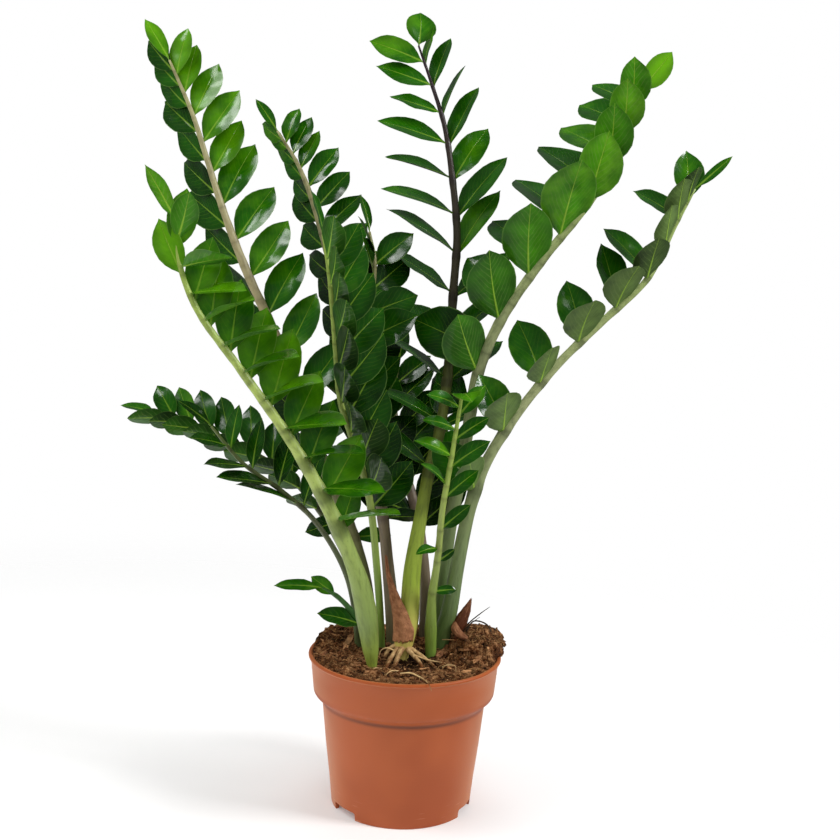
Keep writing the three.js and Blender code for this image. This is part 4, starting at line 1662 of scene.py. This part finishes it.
# Thin roots that lie on the mix, one of them over the pot's lip.
ROOTLETS = (
    (
        (-4, -70, 168, 0.9), (6, -76, 171, 0.9), (14, -86, 171.5, 0.8), (21, -96, 171, 0.7),
        (26, -104.5, 168.6, 0.5), (28, -106.2, 163, 0.25),
    ),
    ((8, -30, 176, 0.9), (24, -38, 173, 0.8), (38, -42, 172, 0.6), (50, -44, 171, 0.3)),
    ((-20, -56, 167, 0.7), (-30, -62, 170.5, 0.6), (-38, -72, 168, 0.4)),
    ((-6, -62, 168, 0.7), (-14, -72, 171, 0.6), (-22, -84, 168, 0.3)),
    ((40, -46, 168, 0.7), (45, -52, 172.5, 0.6), (53, -54, 172.5, 0.5), (54, -60, 168, 0.3)),
    ((-10, -30, 179, 0.8), (-20, -24, 180, 0.7), (-26, -22, 176, 0.5), (-28, -26, 168, 0.3)),
    ((40, -8, 186, 0.5), (48, -14, 188, 0.5), (58, -12, 187, 0.4)),
)  # fmt: skip

# Dark, dry rootlets by the right-hand husk.
TWIGS = (
    ((62, 6, 194, 0.8), (72, 4, 205, 0.7), (84, 2, 216, 0.5), (91, 0, 222, 0.25)),
    ((66, 0, 194, 0.9), (74, -2, 206, 0.8), (88, -3, 203, 0.8), (94, -3, 193, 0.5)),
    ((60, -2, 192, 0.5), (70, -4, 203, 0.4), (80, -6, 212, 0.25)),
)

# Large chips of bark: place, the way the grain runs in degrees, length, width.
BARK_CHIPS = (
    (42, -6, 60, 26, 7), (79, -30, 62, 26, 6), (-63, 10, 84, 46, 8), (-50, -46, 104, 22, 6),
    (62, 10, 150, 13, 8), (62, -20, 118, 20, 6), (-34, -66, 20, 12, 5), (74, 18, 160, 12, 6),
    (66, -52, 40, 11, 4), (-88, -16, 60, 9, 4), (20, 62, 15, 16, 6), (-20, 70, 160, 13, 5),
    (52, 52, 100, 15, 5), (88, -8, 96, 10, 4), (-50, -54, 120, 10, 4),
)  # fmt: skip


# ---- mix, roots, husks


@dataclass
class PottingMix:
    """The heaped mix in the pot, with its crumbs, strands and chips of bark.

    Attributes:
        level: height of the mix at the wall.
        crown: how much higher its middle is.
        radius: radius of its top.
        wall: radius and height of the points down its side and under it.
        pit: middle and width of the hollow between the stems.
        pit_depth: its depth.
        mounds: middle, width and height of each rise.
        lump_centre: middle of the lump that stands over the rim.
        lump_radii: its three radii.
        talus_height: height of the loose mix that leans against the lump.
        edge_start: radius from which the mix rises towards the wall.
        edge_width: how far out that rise goes.
        edge_height: its height.
        inside_lip: radius inside which the mix is clear of the lip.
        rim_height: height of the lip.
        steps: how many faces go round the heap.
        reach: how many faces go from its middle to its edge.
    """

    CRUMBS = 2600
    CRUMB_SEED = 71
    STRANDS = 1300
    STRAND_SEED = 72
    CHIP_SEED = 73
    # Every so many crumbs and strands, one lies on the lump: its box there, as middle and spread.
    LUMP_TURN = 4
    CRUMB_BOX = ((82, 0), (30, 36))
    STRAND_BOX = ((84, 4), (24, 28))
    # Ranges of a crumb's three half widths, as shares of its size.
    CRUMB_WIDTHS = ((0.7, 1.9), (0.6, 1.1), (0.4, 0.8))
    # Ranges of a strand's length and radius, and how many points it has.
    STRAND_LENGTHS = (4, 15)
    STRAND_RADII = (0.16, 0.42)
    STRAND_POINTS = 5
    # Thickness of the large chips, how many small ones there are, and their ranges of size.
    CHIP_THICKNESS = 2.2
    SMALL_CHIPS = 60
    SMALL_LENGTHS = (4, 11)
    SMALL_WIDTHS = (1.2, 3.4)
    SMALL_THICKNESS = 1.1

    level: float = 163
    crown: float = 6
    radius: float = 100.2
    wall: tuple[Pair, ...] = ((99.6, 158), (98, 140), (0, 140))
    pit: Triple = (6, -32, 20)
    pit_depth: float = 4.5
    mounds: Route = (
        (-90, 26, 36, 9),
        (-70, 66, 34, 8),
        (0, 60, 50, 5),
        (70, 26, 30, 12),
        (-60, -50, 26, 3),
    )
    lump_centre: Triple = (82, 5, 177)
    lump_radii: Triple = (27, 33, 19)
    talus_height: float = 11
    edge_start: float = 80
    edge_width: float = 20
    edge_height: float = 4.2
    inside_lip: float = 99.5
    rim_height: float = 168.4
    steps: int = 260
    reach: int = 80

    def height(self, x: float, y: float) -> float:
        """Height of the heap over a place, without its crumbs.

        Args:
            x: the place.
            y: the place.

        Returns:
            The height over the pot's foot.
        """
        out = min(math.hypot(x, y) / self.radius, 1)
        heap = self.crown * (1 - out**2)
        rise = sum(h * math.exp(-((x - mx) ** 2 + (y - my) ** 2) / s**2) for mx, my, s, h in self.mounds)
        # The same small waves as on the solid.
        crumbs = 1.2 * math.sin(x * 0.21 + 1) * math.sin(y * 0.17) + 0.8 * math.sin(x * 0.43 + y * 0.37)
        px, py, wide = self.pit
        pit = self.pit_depth * math.exp(-((x - px) ** 2 + (y - py) ** 2) / wide**2)
        return self.level + heap + rise + crumbs - pit

    def ground(self, x: float, y: float) -> float:
        """Height of what shows over a place: the heap, or the lump on it.

        Args:
            x: the place.
            y: the place.

        Returns:
            The height, or 0 outside the pot.
        """
        heap = self.height(x, y) + self.talus(x, y) if math.hypot(x, y) < self.radius else 0.0
        cx, cy, cz = self.lump_centre
        rx, ry, rz = self.lump_radii
        inside = 1 - ((x - cx) / rx) ** 2 - ((y - cy) / ry) ** 2
        return max(heap, cz + rz * math.sqrt(inside)) if inside > 0 else heap

    def talus(self, x: float, y: float) -> float:
        """Height of the loose mix that leans against the lump and the pot's wall.

        Args:
            x: the place.
            y: the place.

        Returns:
            The height over the heap.
        """
        cx, cy, _ = self.lump_centre
        rx, ry, _ = self.lump_radii
        out = math.hypot((x - cx) / rx, (y - cy) / ry)
        slope = self.talus_height * max(0.0, min((1.6 - out) / 0.6, 1)) ** 1.5
        edge = min(max((math.hypot(x, y) - self.edge_start) / self.edge_width, 0), 1)
        return slope * (1 - edge**4) + self.edge_height * edge**2

    def build_heap(self, mix: Material) -> Object:
        """Makes the body of the mix, spun round and then heaped and roughened.

        Args:
            mix: the mix's material.

        Returns:
            The finished piece.
        """
        bm = bmesh.new()
        piece_layers(bm)
        top = [(self.radius * i / self.reach, self.level) for i in range(self.reach + 1)]
        spin_outline(bm, [*top, *self.wall], self.steps, 0.02)
        for vert in bm.verts:
            if vert.co.z < self.level - 0.1:
                continue
            x, y, _ = vert.co
            coarse = 3.0 * lumps(Vector((x, y, 0)), 14, 4)
            fine = 2.4 * abs(lumps(Vector((x, y, 40)), 5, 4))
            # The last few millimetres before the pot's wall are smoother.
            inner = min((self.radius - math.hypot(x, y)) / 5, 1)
            vert.co.z = self.height(x, y) + self.talus(x, y) + (coarse + fine) * (0.4 + 0.6 * inner) - 0.8
        bmesh.ops.recalc_face_normals(bm, faces=bm.faces)
        return finish_piece(bm, "mix_heap", mix, ("potting_mix",))

    def build_lump(self, mix: Material) -> Object:
        """Makes the lump that stands over the rim on the right.

        Args:
            mix: the mix's material.

        Returns:
            The finished piece.
        """
        bm = bmesh.new()
        layers = piece_layers(bm)
        bmesh.ops.create_icosphere(bm, subdivisions=6, radius=1)
        centre, radii = Vector(self.lump_centre), Vector(self.lump_radii)
        for vert in bm.verts:
            p = vert.co.copy()
            lump = 1 + 0.1 * math.sin(5 * p.x + 3 * p.y) * math.cos(4 * p.z + 2 * p.y)
            at = centre + Vector((p.x * radii.x, p.y * radii.y, p.z * radii.z)) * lump
            at += p * (2.4 * lumps(at, 12, 4) + 1.2 * abs(lumps(at, 4, 3)) - 1)
            out = math.hypot(at.x, at.y)
            # Over the rim the lump hangs clear of the lip.
            if out > self.inside_lip:
                at.z = max(at.z, self.rim_height + 0.8 * abs(lumps(at, 5)))
            vert.co = at
            vert[layers["shade"]] = 0.0
        return finish_piece(bm, "mix_lump", mix, ("potting_mix",))

    def scatter(self, draws: Draws, spread: float) -> Pair:
        """A random place on the mix.

        Args:
            draws: the stream of draws.
            spread: how far from the middle it may be.

        Returns:
            The place.
        """
        while True:
            x, y = spread * draws.next(), spread * draws.next()
            if math.hypot(x, y) < spread:
                return x, y

    def build_crumbs(self, mix: Material) -> Object:
        """Strews crumbs over the mix, most of them small.

        Args:
            mix: the mix's material.

        Returns:
            The finished piece.
        """
        bm, draws = bmesh.new(), Draws(self.CRUMB_SEED)
        layers = piece_layers(bm)
        for number in range(self.CRUMBS):
            if number % self.LUMP_TURN == 0:
                x, y = draws.near(*self.CRUMB_BOX)
            else:
                x, y = self.scatter(draws, self.inside_lip)
            z = self.ground(x, y)
            size = 1.0 + 2.4 * draws.between(0, 1) ** 3
            if z == 0:
                continue
            # Only small crumbs lie by the lip, so that none hangs over it.
            if math.hypot(x, y) > 95 and z < 176:
                size = min(size, 1.5)
            made = bmesh.ops.create_icosphere(bm, subdivisions=1, radius=1)["verts"]
            angle = draws.between(0, ROUND)
            axis = Vector((draws.next(), draws.next(), draws.next() + 2))
            turn = Matrix.Rotation(angle, 3, axis)
            grow = Vector([size * draws.between(*span) for span in self.CRUMB_WIDTHS])
            shade = draws.between(0, 0.9) ** 3
            for vert in made:
                p = vert.co * (1 + 0.45 * lumps(vert.co + Vector((number, 0, 0)), 0.9, 2))
                vert.co = turn @ Vector((p.x * grow.x, p.y * grow.y, p.z * grow.z)) + Vector((x, y, z + 0.6))
                vert[layers["shade"]] = shade
        return finish_piece(bm, "mix_crumbs", mix, ("potting_mix",))

    def build_strands(self, fibre: Material) -> Object:
        """Strews thin, curled strands of coir over the mix.

        Args:
            fibre: the coir's material.

        Returns:
            The finished piece.
        """
        bm, draws = bmesh.new(), Draws(self.STRAND_SEED)
        piece_layers(bm)
        for number in range(self.STRANDS):
            if number % self.LUMP_TURN == 0:
                x, y = draws.near(*self.STRAND_BOX)
            else:
                x, y = self.scatter(draws, 94)
            heading, curl = draws.between(0, ROUND), draws.between(-0.5, 0.5)
            length, thick = draws.between(*self.STRAND_LENGTHS), draws.between(*self.STRAND_RADII)
            route = []
            for k in range(self.STRAND_POINTS):
                # A strand ends where it would leave the pot.
                if math.hypot(x, y) > 99 and self.ground(x, y) < 170:
                    break
                rise = 0.9 + draws.between(-0.4, 1.3)
                route.append((x, y, self.ground(x, y) + rise, thick * (1 - 0.15 * k)))
                heading += curl + draws.between(-0.35, 0.35)
                x += math.cos(heading) * length / (self.STRAND_POINTS - 1)
                y += math.sin(heading) * length / (self.STRAND_POINTS - 1)
            if len(route) > 2:
                Tube(tuple(route), sides=3, rings=6).add_to(bm, draws.between(0.0, 1.0))
        return finish_piece(bm, "mix_strands", fibre, ("potting_mix",))

    def build_chips(self, bark: Material) -> Object:
        """Lays flat chips of bark on the mix: the large ones listed, small ones strewn.

        Args:
            bark: the bark's material.

        Returns:
            The finished piece.
        """
        bm, draws = bmesh.new(), Draws(self.CHIP_SEED)
        piece_layers(bm)
        for x, y, heading, long, wide in BARK_CHIPS:
            self.chip(bm, draws, (x, y), heading, (long, wide, self.CHIP_THICKNESS))
        for _ in range(self.SMALL_CHIPS):
            x, y = self.scatter(draws, 93)
            heading = draws.between(0, 180)
            long, wide = draws.between(*self.SMALL_LENGTHS), draws.between(*self.SMALL_WIDTHS)
            self.chip(bm, draws, (x, y), heading, (long, wide, self.SMALL_THICKNESS))
        return finish_piece(bm, "bark_chips", bark, ("potting_mix",), smooth=False)

    def chip(
        self, bm: BMesh, draws: Draws, place: Pair, heading: float, size: Triple
    ) -> None:
        """Makes one splintered chip: a tapering slab with a ragged outline.

        Args:
            bm: the mesh it is added to.
            draws: the stream of draws.
            place: where on the mix it lies.
            heading: the way its grain runs, in degrees.
            size: length along the grain, width across it and thickness.
        """
        (x, y), (long, wide, thick) = place, size
        slab = bmesh.new()
        layers = piece_layers(slab)
        bmesh.ops.create_cube(slab, size=1)
        bmesh.ops.subdivide_edges(slab, edges=slab.edges[:], cuts=3, use_grid_fill=True)
        turn = Matrix.Rotation(math.radians(heading), 3, "Z") @ Matrix.Rotation(0.22 * draws.next(), 3, "Y")
        turn = turn @ Matrix.Rotation(0.3 * draws.next(), 3, "X")
        seed, shade = draws.between(0, 900), draws.between(0.0, 0.85)
        z = self.ground(x, y) + thick * 0.5 + 0.5
        for vert in slab.verts:
            p = vert.co.copy()
            narrow = 1 - 0.18 * abs(2 * p.x) ** 3 - 0.3 * (p.x + 0.5)
            vert[layers["rest"]] = Vector((p.y * wide, p.x * long, p.z * thick + seed))
            vert[layers["shade"]] = shade
            ragged = 1 + 0.8 * lumps(Vector((p.y * 6 + seed, p.x, p.z)), 1, 3)
            bent = 1 + 0.5 * lumps(Vector((seed, p.x * 5, p.z)), 1, 3)
            bow = (p.x * p.x) * long * 0.16
            at = Vector((p.x * long * ragged, p.y * wide * narrow * bent, p.z * thick * narrow + bow))
            vert.co = turn @ at + Vector((x, y, z))
        add_part(bm, slab)


@dataclass
class Husk:
    """A dry, papery husk: a tapering trough of thin wall that hugs a shoot.

    Attributes:
        name: the piece's name.
        route: points along its middle, each with its radius last.
        start: the angle of its first edge at the foot and at the tip, in degrees.
        end: the angle of its other edge at the foot and at the tip.
        wall: thickness of the solid's wall, which its own wall runs along.
        rows: how many faces go round it.
        steps: how many faces go along it.
        ragged: how deep its upper end is torn, as a share of its length.
        frayed: how deep its lower end is torn.
        node: the solid it stands for, where that has another name.
        shade: its shade at the foot and at the tip.
    """

    # Thickness of its own wall, in mm.
    PAPER = 0.6

    name: str
    route: Route
    start: Pair
    end: Pair
    wall: float = 1.0
    rows: int = 30
    steps: int = 44
    ragged: float = 0.0
    frayed: float = 0.04
    node: str = ""
    shade: Pair = (0.62, 0.3)

    def build(self, paper: Material) -> Object:
        """Makes the husk with its ribs, wrinkles and torn edge.

        Args:
            paper: the husk's material.

        Returns:
            The finished piece.
        """
        bm = bmesh.new()
        layers = piece_layers(bm)
        bmesh.ops.create_grid(bm, x_segments=self.rows, y_segments=self.steps, size=0.5)
        line = Line(self.route)
        for vert in bm.verts:
            turned, up = vert.co.x + 0.5, vert.co.y + 0.5
            # Both of its ends are torn, and the lower one is frayed.
            torn = up * (1 - self.ragged * abs(lumps(Vector((turned * 6, 3, 0)), 1, 2)) * up)
            start = self.frayed * (0.35 + 1.3 * abs(lumps(Vector((turned * 9, 7, 0)), 1, 3)))
            torn = lerp(start, 1, torn)
            point, _, radius = line.at(torn)
            angle = math.radians(lerp(lerp(*self.start, torn), lerp(*self.end, torn), turned))
            wrinkle = 0.12 * math.sin(turned * 60) + 0.7 * lumps(Vector((turned * 9, torn * 5, 0)), 1, 3)
            out = radius + self.wall * 0.5 + wrinkle * min(1, radius / 4)
            vert[layers["rest"]] = Vector((turned * 30, torn * line.length, 0))
            vert[layers["shade"]] = lerp(*self.shade, torn)
            vert.co = Vector((point[0] + out * math.cos(angle), point[1] + out * math.sin(angle), point[2]))
        bmesh.ops.solidify(bm, geom=bm.faces[:], thickness=self.PAPER)
        bmesh.ops.recalc_face_normals(bm, faces=bm.faces)
        return finish_piece(bm, self.name, paper, (self.node or self.name,))


HUSKS = (
    Husk(
        "husk_centre",
        (
            (-2, -17.6, 186, 11.4), (-1, -17.6, 202, 11.9), (-6, -20, 222, 9.2), (-14, -25, 246, 5.2),
            (-20, -27, 266, 2.6), (-23, -28, 284, 1.2),
        ),
        start=(-225, -200),
        end=(-30, -70),
        ragged=0.05,
    ),
    Husk(
        "husk_right",
        ((55, 4, 170, 4), (56, 5, 188, 7), (59, 7, 202, 8), (64, 9, 214, 6), (70, 10, 229, 1)),
        start=(-120, -90),
        end=(50, 30),
        rows=18,
        steps=24,
        ragged=0.12,
        shade=(-0.1, 0.3),
    ),
    Husk(
        "husk_flap_upright",
        ((57, 2, 192, 5), (58, 3, 201, 8), (62, 5, 212, 7), (67, 7, 222, 3.5), (70, 8, 228, 0.8)),
        start=(-160, -130),
        end=(-30, -50),
        rows=16,
        steps=20,
        ragged=0.2,
        node="husk_right",
        shade=(-0.1, 0.25),
    ),
    Husk(
        "husk_flap_curled",
        ((54, -1, 206, 1), (55, -2, 199, 6), (61, -6, 192, 8), (70, -8, 188, 6), (78, -9, 187, 1.2)),
        start=(200, 215),
        end=(305, 330),
        rows=14,
        steps=22,
        ragged=0.1,
        node="husk_right",
        shade=(0.5, 0.1),
    ),
)  # fmt: skip


@dataclass
class Roots:
    """The bare, cream-coloured roots at the foot of the middle stem, and the fine ones."""

    SEED = 75

    def build(self, cream: Material) -> Object:
        """Makes the roots, kinked a little on their way into the mix.

        Args:
            cream: the roots' material.

        Returns:
            The finished piece.
        """
        bm, draws = bmesh.new(), Draws(self.SEED)
        piece_layers(bm)
        for route in ROOTS:
            Tube(route, sides=10, rings=26, rough=0.22).add_to(bm, draws.between(0.35, 0.8))
        for route in ROOTLETS:
            Tube(route, sides=6, rings=24, rough=0.1).add_to(bm, draws.between(0.4, 0.9))
        return finish_piece(bm, "roots_centre", cream, ("stem_centre_tall",))

    def build_twigs(self, dark: Material) -> Object:
        """Makes the dark, dry rootlets that arch over the mix on the right.

        Args:
            dark: the dry rootlets' material.

        Returns:
            The finished piece.
        """
        bm = bmesh.new()
        piece_layers(bm)
        for route in TWIGS:
            Tube(route, sides=6, rings=22, rough=0.15).add_to(bm, 0.3)
        return finish_piece(bm, "dry_rootlets", dark, ("husk_right",))


# ---- pot


@dataclass
class NurseryPot:
    """The moulded pot: a tub with a rolled lip, a collar, a step and a notched foot.

    Attributes:
        height: height of the lip.
        wall: thickness of the wall.
        foot: radius of the foot.
        body: radius and height of points up the body.
        shoulder: radius and height of the step.
        collar: radius and height of the collar's foot.
        belly: radius and height of the collar's middle.
        collar_top: radius of the collar's top.
        lip: radius of the lip.
        floor: height of the channel under the floor.
        disc: radius of the flat disc in the floor.
        notch_width: width of a drainage notch.
        notch_angles: the ways that the notches face, in degrees.
        sides: how many faces go round.
    """

    # Edges that turn by more than this many degrees look sharp.
    SHARP = 40
    NOTCH_ROUND = 2.2

    height: float = 168
    wall: float = 1.8
    foot: float = 76.6
    body: tuple[Pair, ...] = ((80, 34), (84.4, 70))
    shoulder: Pair = (88.9, 116)
    collar: Pair = (99.0, 126)
    belly: Pair = (100.7, 146)
    collar_top: float = 102.4
    lip: float = 105
    floor: float = 9
    disc: float = 44
    notch_width: float = 36
    notch_angles: tuple[float, ...] = (-142, -22, 98)
    sides: int = 160

    def outline(self) -> list[Pair]:
        """Radius and height round the wall, from the disc's middle outside to inside.

        Returns:
            The points in order.
        """
        (r, z), (c, k) = self.shoulder, self.collar
        w, h, top, lip = self.wall, self.height, self.collar_top, self.lip
        foot, floor, disc = self.foot, self.floor, self.disc
        return [
            (0, 0), (disc - 2, 0), (disc, 0.5), (disc + 3, floor), (foot - 5.5, floor),
            (foot - 4.4, 0.7), (foot - 3.6, 0), (foot - 1, 0), (foot - 0.2, 0.5), (foot + 0.1, 1.6),
            *self.body,
            (r, z - 2), (r + 0.2, z + 0.6), (r + 0.9, z + 2.4), (r + 2.4, z + 4),
            (c - 3.4, k - 2.2), (c - 1.4, k - 0.6), (c - 0.3, k + 1.4), (c, k + 3.4), self.belly,
            (top - 0.1, h - 5.4), (top + 0.5, h - 4.2), (lip - 0.7, h - 3.3),
            (lip, h - 2.5), (lip, h - 1), (lip - 0.4, h - 0.3), (lip - 1.2, h),
            (top - w + 1.2, h), (top - w + 0.4, h - 0.4), (top - w, h - 1.6), (c - w, k + 2.2),
            (r - w + 0.6, z + 4.6), (r - w, z),
            (foot - w + 1, floor + w), (disc + 4, floor + w), (disc, w), (0, w),
        ]  # fmt: skip

    def build(self, plastic: Material) -> Object:
        """Spins the wall and cuts the three drainage notches in the foot.

        Args:
            plastic: the pot's material.

        Returns:
            The finished piece.
        """
        bm = bmesh.new()
        spin_outline(bm, self.outline(), self.sides, 0.01)
        bmesh.ops.recalc_face_normals(bm, faces=bm.faces)
        piece = finish_piece(bm, "pot_moulded", plastic, ("pot",))
        cutters = [self.cutter(angle) for angle in self.notch_angles]
        for cutter in cutters:
            cut = piece.modifiers.new("notch", "BOOLEAN")
            cut.operation, cut.solver, cut.object = "DIFFERENCE", "EXACT", cutter
        graph = bpy.context.evaluated_depsgraph_get()
        shape = bpy.data.meshes.new_from_object(piece.evaluated_get(graph))
        piece.modifiers.clear()
        piece.data = shape
        for cutter in cutters:
            bpy.data.objects.remove(cutter)
        shape.set_sharp_from_angle(angle=math.radians(self.SHARP))
        return piece

    def cutter(self, angle: float) -> Object:
        """A round-cornered block that cuts one notch.

        Args:
            angle: the way the notch faces, in degrees.

        Returns:
            The block, in metres.
        """
        bm = bmesh.new()
        bmesh.ops.create_cube(bm, size=1)
        bmesh.ops.scale(bm, vec=(20, self.notch_width, self.floor * 2), verts=bm.verts)
        rounds = [e for e in bm.edges if abs(e.verts[0].co.x - e.verts[1].co.x) > 1]
        bmesh.ops.bevel(
            bm, geom=rounds, offset=self.NOTCH_ROUND, segments=4, profile=0.5, affect="EDGES", material=-1
        )
        bmesh.ops.translate(bm, vec=(self.foot, 0, 0), verts=bm.verts)
        turn = Matrix.Rotation(math.radians(angle), 3, "Z")
        bmesh.ops.rotate(bm, cent=(0, 0, 0), matrix=turn, verts=bm.verts)
        bmesh.ops.scale(bm, vec=(MM, MM, MM), verts=bm.verts)
        return make_object(bm, "notch")


# ---- studio


@dataclass(frozen=True)
class Lamp:
    """A soft, square light.

    Attributes:
        name: its name.
        at: where it hangs, in metres.
        size: how wide it is, in metres.
        power: how strong it is, in watts.
        colour: its tint.
        shine: whether it shows as a highlight.
    """

    name: str
    at: Triple
    size: float
    power: float
    colour: Triple = (1.0, 1.0, 1.0)
    shine: bool = True


@dataclass
class Studio:
    """The pale floor, the soft lights and the camera.

    Attributes:
        distance: how far the camera stands from the plant's middle.
        eye: the camera's height.
        pitch: how far it looks down, in degrees.
        yaw: how far it looks to the right, in degrees.
        roll: how far it leans, in degrees.
        focal: its focal length in pixels of the photograph.
        frame: the photograph's width in pixels.
        sensor: width of its sensor.
        floor_radius: how far the floor reaches, in metres.
        fade_from: the place from which the floor fades, in metres.
        fade: how far from there the floor starts to fade and is gone.
        glow: strength of the surround's light.
        gloss_glow: strength of the surround's light in highlights.
        lamps: the lights.
    """

    # The lights look at this place, in metres.
    AIM = (0, 0, 0.42)

    distance: float = 1300
    eye: float = 598
    pitch: float = 7.59
    yaw: float = 0.36
    roll: float = 1.87
    focal: float = 1229
    frame: float = 840
    sensor: float = 36
    floor_radius: float = 6
    fade_from: Triple = (-0.4, 0.1, 0)
    fade: Pair = (0.35, 1.2)
    glow: float = 0.34
    gloss_glow: float = 0.1
    lamps: tuple[Lamp, ...] = (
        Lamp("right", (1.95, -0.7, 1.7), 0.7, 40),
        Lamp("left", (-2.0, -0.6, 1.3), 1.8, 21, (1.0, 1.0, 0.98), shine=False),
        Lamp("front", (0.2, -2.3, 1.5), 1.8, 14, (1.0, 1.0, 0.99), shine=False),
        Lamp("top", (0.1, 0.5, 2.3), 1.0, 14, shine=False),
        Lamp("glint", (-1.0, -0.35, 2.0), 0.45, 6),
    )

    def build(self) -> None:
        """Sets up everything that isn't part of the plant."""
        self.build_floor()
        self.build_world()
        for lamp in self.lamps:
            self.light(lamp)
        self.build_camera()
        bpy.context.scene.view_settings.view_transform = "Standard"

    def build_floor(self) -> None:
        """Lays a wide, pale floor that fades into the white surround."""
        bm = bmesh.new()
        bmesh.ops.create_circle(bm, cap_ends=True, segments=96, radius=self.floor_radius)
        floor = make_object(bm, "floor")
        s = Shader("pale_floor")
        s.dress(Base_Color=(0.9, 0.9, 0.9), Roughness=0.8, Specular_IOR_Level=0.0)
        s.dress(Emission_Color=(1.0, 1.0, 1.0), Emission_Strength=0.1)
        fade = s.step(s.distance(s.place(), self.fade_from), *self.fade)
        mix, clear = s.node("ShaderNodeMixShader"), s.node("ShaderNodeBsdfTransparent")
        s.join(fade, mix.inputs["Fac"])
        s.join(s.surface.outputs[0], mix.inputs[1])
        s.join(clear.outputs[0], mix.inputs[2])
        s.join(mix.outputs[0], s.tree.nodes["Material Output"].inputs["Surface"])
        floor.data.materials.append(s.material)

    def build_world(self) -> None:
        """Makes a surround that looks white and lights the plant softly."""
        world = bpy.data.worlds.new("surround")
        bpy.context.scene.world = world
        world.use_nodes = True
        nodes, links = world.node_tree.nodes, world.node_tree.links
        seen, glow = nodes["Background"], nodes.new("ShaderNodeBackground")
        for light in (seen, glow):
            light.inputs["Color"].default_value = (1, 1, 1, 1)
        seen.inputs["Strength"].default_value = 1.0
        path, mix = nodes.new("ShaderNodeLightPath"), nodes.new("ShaderNodeMixShader")
        dim = nodes.new("ShaderNodeMapRange")
        dim.inputs["To Min"].default_value = self.glow
        dim.inputs["To Max"].default_value = self.gloss_glow
        links.new(path.outputs["Is Glossy Ray"], dim.inputs["Value"])
        links.new(dim.outputs["Result"], glow.inputs["Strength"])
        links.new(path.outputs["Is Camera Ray"], mix.inputs["Fac"])
        links.new(glow.outputs[0], mix.inputs[1])
        links.new(seen.outputs[0], mix.inputs[2])
        links.new(mix.outputs[0], nodes["World Output"].inputs["Surface"])

    def light(self, lamp: Lamp) -> None:
        """Hangs one of the lights, which looks at the plant's middle.

        Args:
            lamp: the light.
        """
        data = bpy.data.lights.new(lamp.name, "AREA")
        data.size, data.energy, data.color = lamp.size, lamp.power, lamp.colour
        holder = bpy.data.objects.new(lamp.name, data)
        holder.location = lamp.at
        holder.visible_glossy = lamp.shine
        aim = Vector(self.AIM) - Vector(lamp.at)
        holder.rotation_euler = aim.to_track_quat("-Z", "Y").to_euler()
        bpy.context.scene.collection.objects.link(holder)

    def build_camera(self) -> None:
        """Stands the camera where the photograph was taken from."""
        pitch, yaw, roll = (math.radians(angle) for angle in (self.pitch, self.yaw, self.roll))
        ahead = Vector((math.sin(yaw) * math.cos(pitch), math.cos(yaw) * math.cos(pitch), -math.sin(pitch)))
        level = Vector((math.cos(yaw), -math.sin(yaw), 0))
        upward = level.cross(ahead)
        right = level * math.cos(roll) + upward * math.sin(roll)
        up = upward * math.cos(roll) - level * math.sin(roll)
        data = bpy.data.cameras.new("camera")
        data.sensor_width = self.sensor
        data.lens = self.sensor * self.focal / self.frame
        camera = bpy.data.objects.new("camera", data)
        camera.matrix_world = Matrix((right, up, -ahead)).transposed().to_4x4()
        camera.location = Vector((0, -self.distance, self.eye)) * MM
        bpy.context.scene.collection.objects.link(camera)
        bpy.context.scene.camera = camera


def main() -> None:
    """Builds the plant piece by piece and sets the scene."""
    logging.basicConfig(level=logging.INFO, format="%(name)s: %(message)s")
    clump = Clump(STEMS)
    clump.grow()
    leaf = WaxyLeaf().material()
    skins = {skin.name: skin.material() for skin in SKINS}
    for stem in STEMS:
        stem.build_shoot(skins)
        stem.build_leaflets(leaf)
    coir = CoirMix().material()
    mix = PottingMix()
    mix.build_heap(coir)
    mix.build_lump(coir)
    mix.build_crumbs(coir)
    mix.build_strands(DryFibre("coir_strand", "452612", "c4935f", 0.8).material())
    mix.build_chips(DryFibre("bark", "5e3019", "d09a68", 0.9).material())
    roots = Roots()
    roots.build(DryFibre("root_skin", "74451f", "ecc98f", 0.8, 0.7, buried=0.3).material())
    roots.build_twigs(DryFibre("dry_rootlet", "1d1712", "6a5a48", 0.7).material())
    paper = DryFibre("papery_husk", "55290f", "c58a60", 2.2, 0.66).material()
    for husk in HUSKS:
        husk.build(paper)
    NurseryPot().build(MouldedPlastic().material())
    Studio().build()


if __name__ == "__main__":
    main()
